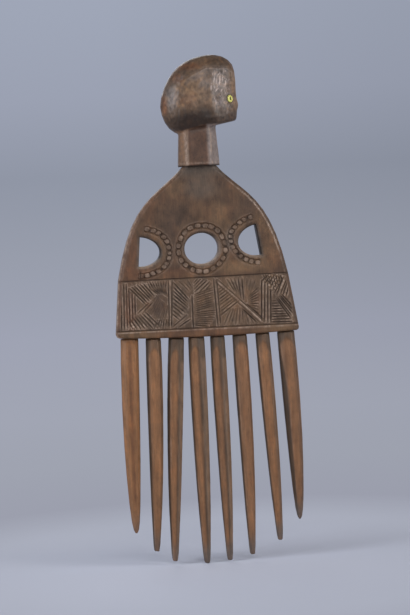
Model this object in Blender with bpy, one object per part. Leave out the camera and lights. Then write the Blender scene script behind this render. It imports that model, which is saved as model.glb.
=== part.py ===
"""A carved wooden comb with a head for its finial, modelled as the pieces it is put together from.

A pierced, arched plate carries eight whittled teeth in mortises along its lower rim. The head and its
neck are one carved piece, which sits over a tenon on top of the plate. Each eye is a glass bead let
into the face and pinned through its hole.

Axes: +Z runs up from the teeth to the head, the carved face of the plate looks along -Y, and the head
looks along +X. The origin is on the floor under the middle of the comb. Lengths are in metres.
"""

import math

import bmesh
import bpy
from mathutils import Matrix, Vector

# Fits between pieces
SEAT_GAP = 0.0003
PIN_GAP = 0.00015
CUT_OVERRUN = 0.001
WELD_DISTANCE = 0.00001

# Teeth
TOOTH_REACH = 0.0821
TOOTH_WIDTH = 0.0060
TOOTH_DEPTH = 0.0062
TOOTH_SPACING = 0.0023
TIP_SPREAD = 0.0044
TOOTH_BOW = 0.0004
TENON_WIDTH = 0.0032
TENON_DEPTH = 0.0030
TENON_LENGTH = 0.0060

# Plate
RIM_OVERHANG = 0.00155
RIM_BOW = 0.0008
RIM_SLANT = 0.00025
RIM_BORDER = 0.0020
BAND_HEIGHT = 0.0182
PLATE_HEIGHT = 0.0593
PLATE_THICKNESS = 0.0090
LEFT_BATTER = 0.0019
RIGHT_BATTER = 0.0031
SHOULDER_WIDTH = 0.0116
ARRIS = 0.0011
PEG_WIDTH = 0.0056
PEG_DEPTH = 0.0046
PEG_LENGTH = 0.0070

# Piercings in the plate: a rounded one in the middle and a half-round one to each side
ROUND_HOLE_WIDTH = 0.0124
ROUND_HOLE_HEIGHT = 0.0111
LEFT_HOLE_HEIGHT = 0.0105
LEFT_HOLE_REACH = 0.0076
RIGHT_HOLE_HEIGHT = 0.0111
RIGHT_HOLE_REACH = 0.0075

# Lines cut across the front of the plate, over and under its ornamented band
LINE_WIDTH = 0.0008
LINE_DEPTH = 0.0004

# Neck and head
NECK_HEIGHT = 0.01275
NECK_TOP_WIDTH = 0.0130
NECK_TOP_DEPTH = 0.0122
NECK_FOOT_WIDTH = 0.0146
NECK_FOOT_DEPTH = 0.0136
NECK_ARRIS = 0.0007
HEAD_HEIGHT = 0.02505
HEAD_LENGTH = 0.0284
HEAD_DEPTH = 0.0172
NOSE_RISE = 0.0005
HEAD_PITCH = math.radians(10.4)

# Eyes
BEAD_DIAMETER = 0.0022
BEAD_THICKNESS = 0.0009
BEAD_PROUD = 0.0004
PIN_DIAMETER = 0.0005
PIN_SEAT = 0.0014
EYE_TURN = math.radians(38.4)

# The teeth differ, as hand-whittled ones do. Left to right, as shares of the sizes that they follow
TOOTH_WIDTH_SHARES = (1.07, 0.94, 0.95, 0.99, 0.89, 0.88, 0.85, 1.03)
TOOTH_REACH_SHARES = (0.850, 0.934, 0.982, 1.000, 0.994, 0.974, 0.920, 0.834)
SPACING_SHARES = (1.04, 1.09, 0.57, 0.82, 1.16, 1.29, 1.20)
LEAN_SHARES = (-0.28, -0.63, -1.05, -0.05, 0.11, 0.16, 0.64, 0.42)
BOW_SHARES = (-0.90, 1.00, -0.70, 0.00, 0.30, 0.70, 0.30, 0.90)
TWIST_SHARES = (0.06, 0.04, -0.26, -0.24, -0.22, 0.16, 0.20, 0.14)
POINTED_TEETH = (0, 7)

# Down a tooth: how far along it is, then its width and depth, as shares of the full sizes
BLUNT_TAPER_SHARES = (
    (0.000, 0.96, 0.96),
    (0.045, 0.97, 0.97),
    (0.120, 1.00, 1.00),
    (0.300, 0.99, 0.98),
    (0.500, 0.91, 0.92),
    (0.650, 0.82, 0.83),
    (0.780, 0.70, 0.71),
    (0.890, 0.55, 0.57),
    (0.965, 0.45, 0.46),
    (1.000, 0.33, 0.34),
)
POINTED_TAPER_SHARES = (
    (0.000, 0.98, 0.96),
    (0.050, 0.98, 0.97),
    (0.120, 1.00, 1.00),
    (0.340, 0.98, 0.98),
    (0.550, 0.89, 0.90),
    (0.700, 0.78, 0.80),
    (0.850, 0.61, 0.64),
    (0.940, 0.45, 0.47),
    (0.982, 0.29, 0.31),
    (1.000, 0.11, 0.13),
)
# Corners of a tooth's section, as shares of its half width and half depth
TOOTH_SECTION_SHARES = (
    (-0.40, -1.00),
    (0.46, -1.00),
    (1.00, -0.42),
    (1.00, 0.46),
    (0.50, 1.00),
    (-0.50, 1.00),
    (-1.00, 0.50),
    (-1.00, -0.34),
)

# Handles of the arch above the band, in from its foot and out from its top, as shares of the arch's
# width and height, and how far a bowed edge's handles stand past the bow
ARCH_FOOT_HANDLE_SHARES = (0.234, 0.729)
LEFT_TOP_HANDLE_SHARES = (0.452, 0.281)
RIGHT_TOP_HANDLE_SHARES = (0.420, 0.281)
BOW_HANDLE_SHARES = (1 / 3, 4 / 3)
ROUND_HANDLE_SHARE = 0.5523

# Places of the piercings, as shares of the rim's half width and the plate's height
ROUND_HOLE_PLACE_SHARES = (-0.023, 0.512)
LEFT_HOLE_PLACE_SHARES = (-0.704, 0.510)
RIGHT_HOLE_PLACE_SHARES = (0.604, 0.547)
LEFT_HOLE_TILT = math.radians(5.3)
RIGHT_HOLE_TILT = math.radians(-8.3)

# Corners of the neck's section, which is pared to eight facets, as shares of its half width and half depth
NECK_SECTION_SHARES = (
    (-0.54, -1.00),
    (0.54, -1.00),
    (1.00, -0.42),
    (1.00, 0.44),
    (0.50, 1.00),
    (-0.52, 1.00),
    (-1.00, 0.42),
    (-1.00, -0.44),
)

# Up the head, in its own pitched frame: height, back and front of the section measured from the neck's
# axis, and half its depth, as shares of the head's height, its length and half its depth
HEAD_SECTION_SHARES = (
    (0.000, -0.240, 0.498, 0.72),
    (0.030, -0.280, 0.520, 0.84),
    (0.100, -0.335, 0.540, 0.93),
    (0.200, -0.372, 0.560, 0.98),
    (0.310, -0.388, 0.578, 1.00),
    (0.430, -0.384, 0.593, 1.00),
    (0.560, -0.343, 0.614, 0.98),
    (0.680, -0.279, 0.626, 0.93),
    (0.780, -0.210, 0.618, 0.86),
    (0.860, -0.136, 0.580, 0.76),
    (0.925, -0.047, 0.513, 0.62),
    (0.970, 0.052, 0.430, 0.44),
    (0.992, 0.145, 0.350, 0.24),
)
HEAD_SIDES = 32
EYE_HEIGHT_SHARE = 0.313
NOSE_HEIGHT_SHARE = 0.215
NOSE_SPAN_SHARE = 0.085
NOSE_TURN = math.radians(13.0)

BEAD_SEGMENTS = 24
BEAD_WALL_STEPS = 12
PIN_SEGMENTS = 12
CURVE_STEPS = 10
SHARP_OVER = math.radians(35)
SOFTEN_OVER = math.radians(40)
FLAT_WITHIN = math.radians(0.1)

# Places worked out from the sizes above
TOOTH_COUNT = len(TOOTH_WIDTH_SHARES)
TOOTH_ROW = TOOTH_WIDTH * sum(TOOTH_WIDTH_SHARES) + TOOTH_SPACING * sum(SPACING_SHARES)
RIM_WIDTH = TOOTH_ROW + 2 * RIM_OVERHANG
RIM_CORNER_Z = TOOTH_REACH
BAND_TOP_Z = RIM_CORNER_Z + RIM_BORDER + BAND_HEIGHT
PLATE_TOP_Z = RIM_CORNER_Z + PLATE_HEIGHT
NECK_FOOT_Z = PLATE_TOP_Z + SEAT_GAP
HEAD_BASE_Z = NECK_FOOT_Z + NECK_HEIGHT


def clear_scene():
    for thing in list(bpy.data.objects):
        bpy.data.objects.remove(thing, do_unlink=True)


def new_collection(name):
    collection = bpy.data.collections.new(name)
    bpy.context.scene.collection.children.link(collection)
    return collection


def material(name, colour, roughness, metallic=0.0):
    made = bpy.data.materials.new(name)
    made.use_nodes = True
    shader = made.node_tree.nodes["Principled BSDF"]
    shader.inputs["Base Color"].default_value = (*colour, 1.0)
    shader.inputs["Roughness"].default_value = roughness
    shader.inputs["Metallic"].default_value = metallic
    return made


def mesh_object(name, form, collection, finish=None):
    """Turns a bmesh into a named object with smooth rounds and sharp edges."""
    bmesh.ops.recalc_face_normals(form, faces=form.faces)
    mesh = bpy.data.meshes.new(name)
    form.to_mesh(mesh)
    form.free()
    mesh.shade_smooth()
    mesh.set_sharp_from_angle(angle=SHARP_OVER)
    made = bpy.data.objects.new(name, mesh)
    if finish:
        mesh.materials.append(finish)
    collection.objects.link(made)
    return made


def as_guide(thing):
    """A cutter or a form that another piece takes in, which isn't a piece itself."""
    thing.hide_render = True
    thing.display_type = "WIRE"
    return thing


def boolean(target, other, operation):
    step = target.modifiers.new(f"{operation.lower()} {other.name}", "BOOLEAN")
    step.operation = operation
    step.object = other
    step.solver = "EXACT"


def box_form(width, depth, height, centre=(0, 0, 0)):
    form = bmesh.new()
    bmesh.ops.create_cube(form, size=1.0)
    bmesh.ops.scale(form, vec=(width, depth, height), verts=form.verts)
    bmesh.ops.translate(form, vec=centre, verts=form.verts)
    return form


def cylinder_form(radius, length, segments, start=0.0):
    """A cylinder about Z that runs up from start."""
    form = bmesh.new()
    bmesh.ops.create_cone(
        form, cap_ends=True, segments=segments, radius1=radius, radius2=radius, depth=length
    )
    bmesh.ops.translate(form, vec=(0, 0, start + length / 2), verts=form.verts)
    return form


def loft(sections):
    """Skins a stack of closed rings that have the same number of points, and caps both ends."""
    form = bmesh.new()
    rings = [[form.verts.new(point) for point in section] for section in sections]
    loops = []
    for ring in rings:
        loops.append([form.edges.new((ring[i - 1], ring[i])) for i in range(len(ring))])
    for lower, upper in zip(loops, loops[1:]):
        bmesh.ops.bridge_loops(form, edges=lower + upper)
    for ring in (rings[0], rings[-1]):
        form.faces.new(ring)
    return form


def across(point):
    """The same outline point on the other side of the comb, run through the other way."""
    x, z, before, after = point
    return (
        -x,
        z,
        None if after is None else (-after[0], after[1]),
        None if before is None else (-before[0], before[1]),
    )


def joined_sides(right, left):
    """The right side's points, then the left side's, in turn round the outline."""
    return right + [across(point) for point in reversed(left)]


def outline_form(name, outlines, thickness):
    """Extrudes flat outlines drawn in X and Z. A point is x, z and its handles before and after."""
    curve = bpy.data.curves.new(name, "CURVE")
    curve.dimensions = "2D"
    curve.fill_mode = "BOTH"
    curve.extrude = thickness / 2
    curve.resolution_u = CURVE_STEPS
    for outline in outlines:
        spline = curve.splines.new("BEZIER")
        spline.bezier_points.add(len(outline) - 1)
        spline.use_cyclic_u = True
        for point, (x, z, before, after) in zip(spline.bezier_points, outline):
            point.co = (x, z, 0)
            point.handle_left_type = "FREE" if before else "VECTOR"
            point.handle_right_type = "FREE" if after else "VECTOR"
            if before:
                point.handle_left = (*before, 0)
            if after:
                point.handle_right = (*after, 0)
    drawn = bpy.data.objects.new(name, curve)
    drawn.rotation_euler.x = math.radians(90)
    bpy.context.scene.collection.objects.link(drawn)
    bpy.context.view_layer.update()
    evaluated = drawn.evaluated_get(bpy.context.evaluated_depsgraph_get())
    mesh = bpy.data.meshes.new_from_object(evaluated)
    mesh.transform(drawn.matrix_world)
    form = bmesh.new()
    form.from_mesh(mesh)
    bpy.data.meshes.remove(mesh)
    bpy.data.objects.remove(drawn, do_unlink=True)
    bmesh.ops.remove_doubles(form, verts=form.verts, dist=WELD_DISTANCE)
    bmesh.ops.recalc_face_normals(form, faces=form.faces)
    bmesh.ops.dissolve_limit(form, angle_limit=FLAT_WITHIN, verts=form.verts, edges=form.edges)
    return form


def soften_edges(form, width, segments):
    edges = [
        edge for edge in form.edges if edge.is_manifold and edge.calc_face_angle() > SOFTEN_OVER
    ]
    bmesh.ops.bevel(
        form,
        geom=edges,
        offset=width,
        segments=segments,
        profile=0.5,
        affect="EDGES",
        material=-1,
    )


def rim_underside(x):
    """Height of the plate's bowed lower edge at x, which slants down a little to the right."""
    share = x / (RIM_WIDTH / 2)
    return RIM_CORNER_Z - RIM_BOW * (1 - share**2) - RIM_SLANT * share


def tooth_width(index):
    return TOOTH_WIDTH * TOOTH_WIDTH_SHARES[index]


def tooth_place(index):
    """The middle of a tooth's shoulder, just under the rim, and the tooth's lean about Y."""
    before = sum(TOOTH_WIDTH_SHARES[:index]) * TOOTH_WIDTH
    before += sum(SPACING_SHARES[:index]) * TOOTH_SPACING
    half = tooth_width(index) / 2
    x = before + half - TOOTH_ROW / 2
    reach = TOOTH_REACH * TOOTH_REACH_SHARES[index]
    lean = math.atan2(-TIP_SPREAD * LEAN_SHARES[index], reach)
    lift = half * math.sin(abs(lean))
    lowest = min(rim_underside(x - half), rim_underside(x), rim_underside(x + half))
    return Vector((x, 0, lowest - lift - SEAT_GAP)), lean


def tooth_matrix(index):
    place, lean = tooth_place(index)
    return Matrix.Translation(place) @ Matrix.Rotation(lean, 4, "Y")


def tooth_section(index, length, along, wide, deep):
    """One eight-sided section. Its front ridges run a little askew, and it follows the tooth's bow."""
    half_width = wide * tooth_width(index) / 2
    half_depth = deep * TOOTH_DEPTH / 2
    bow = TOOTH_BOW * BOW_SHARES[index] * 4 * along * (1 - along)
    twist = TWIST_SHARES[index] * (1 - along)
    section = []
    for side, front in TOOTH_SECTION_SHARES:
        is_front_ridge = front < 0 and abs(side) < 1
        shifted = side + twist if is_front_ridge else side
        section.append((bow + shifted * half_width, front * half_depth, -along * length))
    return section


def build_tooth(index, parts, finish):
    """One whittled tooth: a tapered bar with eight uneven facets, and a tenon on its shoulder."""
    place, lean = tooth_place(index)
    tip_z = TOOTH_REACH * (1 - TOOTH_REACH_SHARES[index])
    length = (place.z - tip_z) / math.cos(lean)
    taper = POINTED_TAPER_SHARES if index in POINTED_TEETH else BLUNT_TAPER_SHARES
    sections = [tooth_section(index, length, *row) for row in taper]
    tooth = mesh_object(f"tooth_{index + 1}", loft(sections), parts, finish)
    tooth.matrix_world = tooth_matrix(index)
    tenon_height = TENON_LENGTH + CUT_OVERRUN
    tenon_middle = (0, 0, tenon_height / 2 - CUT_OVERRUN)
    form = box_form(TENON_WIDTH, TENON_DEPTH, tenon_height, tenon_middle)
    tenon = as_guide(mesh_object(f"tenon_{index + 1}", form, CUTTERS))
    tenon.matrix_world = tooth_matrix(index)
    boolean(tooth, tenon, "UNION")
    return tooth


def mortise(index):
    """The pocket for a tooth's tenon: the tenon grown by the gap, and open below the rim."""
    height = TENON_LENGTH + SEAT_GAP + RIM_BOW + CUT_OVERRUN
    middle = (0, 0, TENON_LENGTH + SEAT_GAP - height / 2)
    form = box_form(TENON_WIDTH + 2 * SEAT_GAP, TENON_DEPTH + 2 * SEAT_GAP, height, middle)
    cutter = as_guide(mesh_object(f"mortise_{index + 1}", form, CUTTERS))
    cutter.matrix_world = tooth_matrix(index)
    return cutter


def plate_side(batter, top_handle_shares, drop):
    """One side of the plate, drawn as the right one: from the rim's corner up over the arch."""
    half = RIM_WIDTH / 2
    waist = half - batter
    shoulder = SHOULDER_WIDTH / 2
    arch_width = waist - shoulder
    arch_height = PLATE_TOP_Z - BAND_TOP_Z
    foot_in, foot_up = ARCH_FOOT_HANDLE_SHARES
    top_out, top_down = top_handle_shares
    bow_in, bow_down = BOW_HANDLE_SHARES
    foot_handle = (waist - foot_in * arch_width, BAND_TOP_Z + foot_up * arch_height)
    top_handle = (shoulder + top_out * arch_width, PLATE_TOP_Z - top_down * arch_height)
    bow_handle = (half * bow_in, RIM_CORNER_Z - bow_down * RIM_BOW - bow_in * drop)
    return [
        (half, RIM_CORNER_Z - drop, bow_handle, None),
        (waist, BAND_TOP_Z, None, foot_handle),
        (shoulder, PLATE_TOP_Z, top_handle, None),
    ]


def band_line(name, height, slant=0.0):
    """Cutter of one line across the front of the plate, from edge to edge. Slant lowers its right end."""
    form = box_form(RIM_WIDTH + 2 * CUT_OVERRUN, 2 * LINE_DEPTH, LINE_WIDTH)
    cutter = as_guide(mesh_object(name, form, CUTTERS))
    turn = Matrix.Rotation(math.atan2(slant, RIM_WIDTH / 2), 4, "Y")
    cutter.matrix_world = Matrix.Translation((0, -PLATE_THICKNESS / 2, height)) @ turn
    return cutter


def half_round_outline(reach, height, side):
    """A half-round hole about its flat side's middle, bulging towards the plate's middle."""
    half = height / 2
    out = -side * reach
    return [
        (0, -half, None, (out * ROUND_HANDLE_SHARE, -half)),
        (out, 0, (out, -half * ROUND_HANDLE_SHARE), (out, half * ROUND_HANDLE_SHARE)),
        (0, half, (out * ROUND_HANDLE_SHARE, half), None),
    ]


def place_in_plate(shares):
    return shares[0] * RIM_WIDTH / 2, RIM_CORNER_Z + shares[1] * PLATE_HEIGHT


def hole_cutter(name, form, shares, tilt=0.0):
    x, z = place_in_plate(shares)
    cutter = as_guide(mesh_object(name, form, CUTTERS))
    cutter.matrix_world = Matrix.Translation((x, 0, z)) @ Matrix.Rotation(tilt, 4, "Y")
    return cutter


def build_plate(parts, finish):
    right = plate_side(RIGHT_BATTER, RIGHT_TOP_HANDLE_SHARES, RIM_SLANT)
    left = plate_side(LEFT_BATTER, LEFT_TOP_HANDLE_SHARES, -RIM_SLANT)
    form = outline_form("plate outline", [joined_sides(right, left)], PLATE_THICKNESS)
    soften_edges(form, ARRIS, 2)
    plate = mesh_object("comb_plate", form, parts, finish)

    through = PLATE_THICKNESS + 2 * CUT_OVERRUN
    form = cylinder_form(ROUND_HOLE_HEIGHT / 2, through, 4 * CURVE_STEPS, -through / 2)
    bmesh.ops.rotate(form, matrix=Matrix.Rotation(math.radians(90), 3, "X"), verts=form.verts)
    bmesh.ops.scale(form, vec=(ROUND_HOLE_WIDTH / ROUND_HOLE_HEIGHT, 1, 1), verts=form.verts)
    boolean(plate, hole_cutter("round_hole", form, ROUND_HOLE_PLACE_SHARES), "DIFFERENCE")
    sides = (
        ("left_hole", LEFT_HOLE_REACH, LEFT_HOLE_HEIGHT, -1, LEFT_HOLE_PLACE_SHARES, LEFT_HOLE_TILT),
        ("right_hole", RIGHT_HOLE_REACH, RIGHT_HOLE_HEIGHT, 1, RIGHT_HOLE_PLACE_SHARES, RIGHT_HOLE_TILT),
    )
    for name, reach, height, side, shares, tilt in sides:
        form = outline_form(name, [half_round_outline(reach, height, side)], through)
        boolean(plate, hole_cutter(name, form, shares, tilt), "DIFFERENCE")

    boolean(plate, band_line("line_over_band", BAND_TOP_Z), "DIFFERENCE")
    border_edge_z = RIM_CORNER_Z + RIM_BORDER
    under_band = band_line("line_under_band", border_edge_z + LINE_WIDTH / 2, RIM_SLANT)
    boolean(plate, under_band, "DIFFERENCE")

    for index in range(TOOTH_COUNT):
        boolean(plate, mortise(index), "DIFFERENCE")

    peg_height = PEG_LENGTH + CUT_OVERRUN
    peg_middle = (0, 0, PLATE_TOP_Z + PEG_LENGTH - peg_height / 2)
    form = box_form(PEG_WIDTH, PEG_DEPTH, peg_height, peg_middle)
    boolean(plate, as_guide(mesh_object("plate_peg", form, CUTTERS)), "UNION")
    return plate


def head_section(height, back, front, deep):
    """Centre and half lengths of one oval section of the head, and its height."""
    centre = HEAD_LENGTH * (front + back) / 2
    half_length = HEAD_LENGTH * (front - back) / 2
    return centre, half_length, deep * HEAD_DEPTH / 2, height * HEAD_HEIGHT


def section_between(share):
    """The head's section at any share of its height."""
    for lower, upper in zip(HEAD_SECTION_SHARES, HEAD_SECTION_SHARES[1:]):
        if lower[0] <= share <= upper[0]:
            part = (share - lower[0]) / (upper[0] - lower[0])
            return head_section(*[a + part * (b - a) for a, b in zip(lower, upper)])
    return head_section(*HEAD_SECTION_SHARES[-1])


def nose_rise(share, turn):
    """How far the face stands out at a share of the head's height, turned from straight ahead."""
    up = max(0.0, 1 - ((share - NOSE_HEIGHT_SHARE) / NOSE_SPAN_SHARE) ** 2)
    across = max(0.0, 1 - (turn / NOSE_TURN) ** 2)
    return NOSE_RISE * up * across


def head_matrix():
    return Matrix.Translation((0, 0, HEAD_BASE_Z)) @ Matrix.Rotation(-HEAD_PITCH, 4, "Y")


def head_ring(share):
    centre, half_length, half_depth, height = section_between(share)
    ring = []
    for step in range(HEAD_SIDES):
        turn = 2 * math.pi * step / HEAD_SIDES
        signed = (turn + math.pi) % (2 * math.pi) - math.pi
        out = half_length + nose_rise(share, signed)
        ring.append((centre + out * math.cos(turn), half_depth * math.sin(turn), height))
    return ring


def head_form():
    shares = sorted(
        {section[0] for section in HEAD_SECTION_SHARES}
        | {NOSE_HEIGHT_SHARE + NOSE_SPAN_SHARE * step / 2 for step in (-2, -1, 0, 1, 2)}
    )
    form = loft([head_ring(share) for share in shares])
    crown = max(form.faces, key=lambda face: face.calc_center_median().z)
    made = bmesh.ops.poke(form, faces=[crown])
    for vertex in made["verts"]:
        vertex.co.z = HEAD_HEIGHT
    return form


def neck_ring(width, depth, height):
    """One eight-sided section of the neck."""
    return [(side * width / 2, front * depth / 2, height) for side, front in NECK_SECTION_SHARES]


def neck_form():
    """The neck flares to its foot, where its arris is worn, and runs up inside the head to join it."""
    root = HEAD_LENGTH * math.sin(HEAD_PITCH)
    slope = (NECK_FOOT_WIDTH - NECK_TOP_WIDTH) / NECK_HEIGHT
    worn = slope * NECK_ARRIS
    return loft(
        [
            neck_ring(NECK_FOOT_WIDTH - 2 * NECK_ARRIS, NECK_FOOT_DEPTH - 2 * NECK_ARRIS, NECK_FOOT_Z),
            neck_ring(NECK_FOOT_WIDTH - worn, NECK_FOOT_DEPTH - worn, NECK_FOOT_Z + NECK_ARRIS),
            neck_ring(NECK_TOP_WIDTH, NECK_TOP_DEPTH, HEAD_BASE_Z),
            neck_ring(NECK_TOP_WIDTH, NECK_TOP_DEPTH, HEAD_BASE_Z + root),
        ]
    )


def eye_matrix(side):
    """Where an eye sits: its Z axis is the face's outward normal there. Side -1 is the front of the comb."""
    centre, half_length, half_depth, height = section_between(EYE_HEIGHT_SHARE)
    place = Vector(
        (centre + half_length * math.cos(EYE_TURN), side * half_depth * math.sin(EYE_TURN), height)
    )
    outward = Vector((math.cos(EYE_TURN) / half_length, side * math.sin(EYE_TURN) / half_depth, 0))
    turned = outward.to_track_quat("Z", "Y").to_matrix().to_4x4()
    return head_matrix() @ Matrix.Translation(place) @ turned


def bead_floor():
    """Depth of the bead's socket below the face."""
    return BEAD_THICKNESS + PIN_GAP - BEAD_PROUD


def build_finial(parts, finish):
    finial = mesh_object("head_finial", neck_form(), parts, finish)
    head = as_guide(mesh_object("head_form", head_form(), CUTTERS))
    head.matrix_world = head_matrix()
    boolean(finial, head, "UNION")

    depth = PEG_LENGTH + SEAT_GAP + CUT_OVERRUN
    middle = (0, 0, PLATE_TOP_Z + PEG_LENGTH + SEAT_GAP - depth / 2)
    form = box_form(PEG_WIDTH + 2 * SEAT_GAP, PEG_DEPTH + 2 * SEAT_GAP, depth, middle)
    boolean(finial, as_guide(mesh_object("peg_socket", form, CUTTERS)), "DIFFERENCE")

    for side, word in ((-1, "front"), (1, "back")):
        form = cylinder_form(
            BEAD_DIAMETER / 2 + PIN_GAP, bead_floor() + CUT_OVERRUN, BEAD_SEGMENTS, -bead_floor()
        )
        socket = as_guide(mesh_object(f"bead_socket_{word}", form, CUTTERS))
        socket.matrix_world = eye_matrix(side)
        boolean(finial, socket, "DIFFERENCE")
        form = cylinder_form(
            PIN_DIAMETER / 2 + PIN_GAP,
            PIN_SEAT + PIN_GAP + CUT_OVERRUN,
            PIN_SEGMENTS,
            -bead_floor() - PIN_SEAT - PIN_GAP,
        )
        pilot = as_guide(mesh_object(f"pin_pilot_{word}", form, CUTTERS))
        pilot.matrix_world = eye_matrix(side)
        boolean(finial, pilot, "DIFFERENCE")
    return finial


def bead_profile():
    """Half section of a seed bead: a rounded wall between its hole and its rim, as a closed ring."""
    outer = BEAD_DIAMETER / 2
    inner = PIN_DIAMETER / 2 + PIN_GAP
    middle = (outer + inner) / 2
    wall = (outer - inner) / 2
    half = BEAD_THICKNESS / 2
    turns = [2 * math.pi * step / BEAD_WALL_STEPS for step in range(BEAD_WALL_STEPS)]
    return [(middle + wall * math.cos(turn), half * math.sin(turn)) for turn in turns]


def bead_form():
    form = bmesh.new()
    lift = BEAD_PROUD - BEAD_THICKNESS / 2
    ring = [form.verts.new((x, 0, z + lift)) for x, z in bead_profile()]
    edges = [form.edges.new((ring[i - 1], ring[i])) for i in range(len(ring))]
    bmesh.ops.spin(
        form,
        geom=ring + edges,
        cent=(0, 0, 0),
        axis=(0, 0, 1),
        angle=2 * math.pi,
        steps=BEAD_SEGMENTS,
        use_merge=True,
    )
    bmesh.ops.remove_doubles(form, verts=form.verts, dist=WELD_DISTANCE)
    return form


def build_eye(side, word, parts, glass, dark_wood):
    bead = mesh_object(f"eye_bead_{word}", bead_form(), parts, glass)
    bead.matrix_world = eye_matrix(side)
    length = PIN_SEAT + BEAD_THICKNESS
    form = cylinder_form(PIN_DIAMETER / 2, length, PIN_SEGMENTS, -bead_floor() - PIN_SEAT)
    pin = mesh_object(f"eye_pin_{word}", form, parts, dark_wood)
    pin.matrix_world = eye_matrix(side)


clear_scene()
PARTS = new_collection("anthropomorphic comb")
CUTTERS = new_collection("cutters and forms")

plate_wood = material("dark patinated wood", (0.103, 0.067, 0.051), 0.55)
tooth_wood = material("worn brown wood", (0.190, 0.100, 0.055), 0.50)
bead_glass = material("yellow bead glass", (0.760, 0.730, 0.150), 0.15)
pin_wood = material("blackened pin", (0.020, 0.016, 0.010), 0.60)

build_plate(PARTS, plate_wood)
for tooth_index in range(TOOTH_COUNT):
    build_tooth(tooth_index, PARTS, tooth_wood)
build_finial(PARTS, plate_wood)
build_eye(-1, "front", PARTS, bead_glass, pin_wood)
build_eye(1, "back", PARTS, bead_glass, pin_wood)
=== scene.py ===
# %% [markdown]
# # A carved wooden comb with a head for its finial
#
# The real object is carved by hand: a pierced and arched plate with a chip-carved band, eight whittled
# teeth under it, and a head on a short neck above it, with a yellow glass bead for each eye. Its plain
# solids are loaded first and never changed. The wooden ones are copied, given a skin of small faces, and
# carved, worn and coloured like old wood that hands have polished. The beads and their plugs are made
# anew, on the axes of the solids that they stand for.

# %% Load the fixed frame
import math
import random

import bmesh
import bpy
import numpy as np
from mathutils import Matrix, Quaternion, Vector, noise


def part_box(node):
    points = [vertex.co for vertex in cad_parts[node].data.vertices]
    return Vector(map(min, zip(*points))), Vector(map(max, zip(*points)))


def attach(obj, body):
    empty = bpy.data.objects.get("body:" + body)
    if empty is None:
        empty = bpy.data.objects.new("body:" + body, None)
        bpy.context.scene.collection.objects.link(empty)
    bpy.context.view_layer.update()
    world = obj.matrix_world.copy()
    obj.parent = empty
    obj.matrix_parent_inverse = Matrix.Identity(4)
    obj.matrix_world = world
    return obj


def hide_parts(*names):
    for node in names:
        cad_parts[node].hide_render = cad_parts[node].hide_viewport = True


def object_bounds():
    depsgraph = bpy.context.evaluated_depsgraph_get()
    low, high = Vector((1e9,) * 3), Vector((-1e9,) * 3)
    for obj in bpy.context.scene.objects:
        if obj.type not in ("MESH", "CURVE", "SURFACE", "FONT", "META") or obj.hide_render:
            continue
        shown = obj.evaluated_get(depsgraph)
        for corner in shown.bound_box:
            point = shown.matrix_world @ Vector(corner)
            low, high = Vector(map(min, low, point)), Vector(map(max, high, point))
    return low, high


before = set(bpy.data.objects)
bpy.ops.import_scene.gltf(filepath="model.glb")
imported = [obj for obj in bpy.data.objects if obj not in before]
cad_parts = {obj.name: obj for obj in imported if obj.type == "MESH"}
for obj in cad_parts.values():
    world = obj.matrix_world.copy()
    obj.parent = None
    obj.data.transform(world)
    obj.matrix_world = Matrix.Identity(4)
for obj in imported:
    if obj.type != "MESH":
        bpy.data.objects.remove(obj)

MM = 0.001
cad_low, cad_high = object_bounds()
print("nodes:", ", ".join(sorted(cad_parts)))
print("box of the solids in mm:", [round(side / MM, 1) for side in cad_high - cad_low])

# %% [markdown]
# ## The camera
#
# A small object is photographed from far off with a long lens, so that its sides stay parallel. The
# camera could be placed by eye. Here its distance is worked out instead from the height that the picture
# spans at the comb. It stands a little to the left and a little above, and it is rolled a few degrees,
# because the comb leans that much in its picture.

# %% Set the camera
LENS = 120.0
SENSOR = 36.0
PICTURE_HEIGHT = 218.6 * MM
AIM = Vector((-0.4, 0.0, 91.4)) * MM
AZIMUTH = math.radians(-5.0)
ELEVATION = math.radians(3.0)
ROLL = math.radians(3.0)


def add_object(name, data):
    """A new object in the scene, made of the data that it is given."""
    made = bpy.data.objects.new(name, data)
    bpy.context.scene.collection.objects.link(made)
    return made


def set_camera():
    """A long lens, rolled so that the comb leans to the left in the picture."""
    distance = PICTURE_HEIGHT * LENS / SENSOR
    flat = math.cos(ELEVATION)
    back = Vector((math.sin(AZIMUTH) * flat, -math.cos(AZIMUTH) * flat, math.sin(ELEVATION)))
    data = bpy.data.cameras.new("long lens")
    data.lens = LENS
    data.sensor_width = SENSOR
    data.clip_start = 10 * MM
    data.clip_end = 20.0
    camera = add_object("long lens", data)
    camera.rotation_mode = "QUATERNION"
    camera.rotation_quaternion = Quaternion(back, -ROLL) @ (-back).to_track_quat("-Z", "Y")
    camera.location = AIM + back * distance
    bpy.context.scene.camera = camera
    return distance


print("camera stands", round(set_camera() / MM), "mm away")

# %% [markdown]
# ## Copies of the solids
#
# A loaded solid is a heap of loose triangles. A copy of it is merged first, so that its faces know their
# neighbours and an operator can cut across them. Every finished piece leaves this lesson in the same
# way: as a smooth mesh at the origin that rides on the comb and stands for its solid.

# %% Copy a solid and finish a piece
WELD = 0.002 * MM


def copy_of(node):
    """A node's solid as a bmesh, with its loose triangles joined."""
    form = bmesh.new()
    form.from_mesh(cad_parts[node].data)
    bmesh.ops.remove_doubles(form, verts=form.verts, dist=WELD)
    return form


def mesh_of(form, name):
    """A mesh made of a bmesh, which is then let go."""
    mesh = bpy.data.meshes.new(name)
    form.to_mesh(mesh)
    form.free()
    return mesh


def points_of(form):
    """The places of a bmesh's vertices in millimetres, one row each."""
    return np.array([vert.co for vert in form.verts]) / MM


def normals_of(form):
    form.normal_update()
    return np.array([vert.normal for vert in form.verts])


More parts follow.
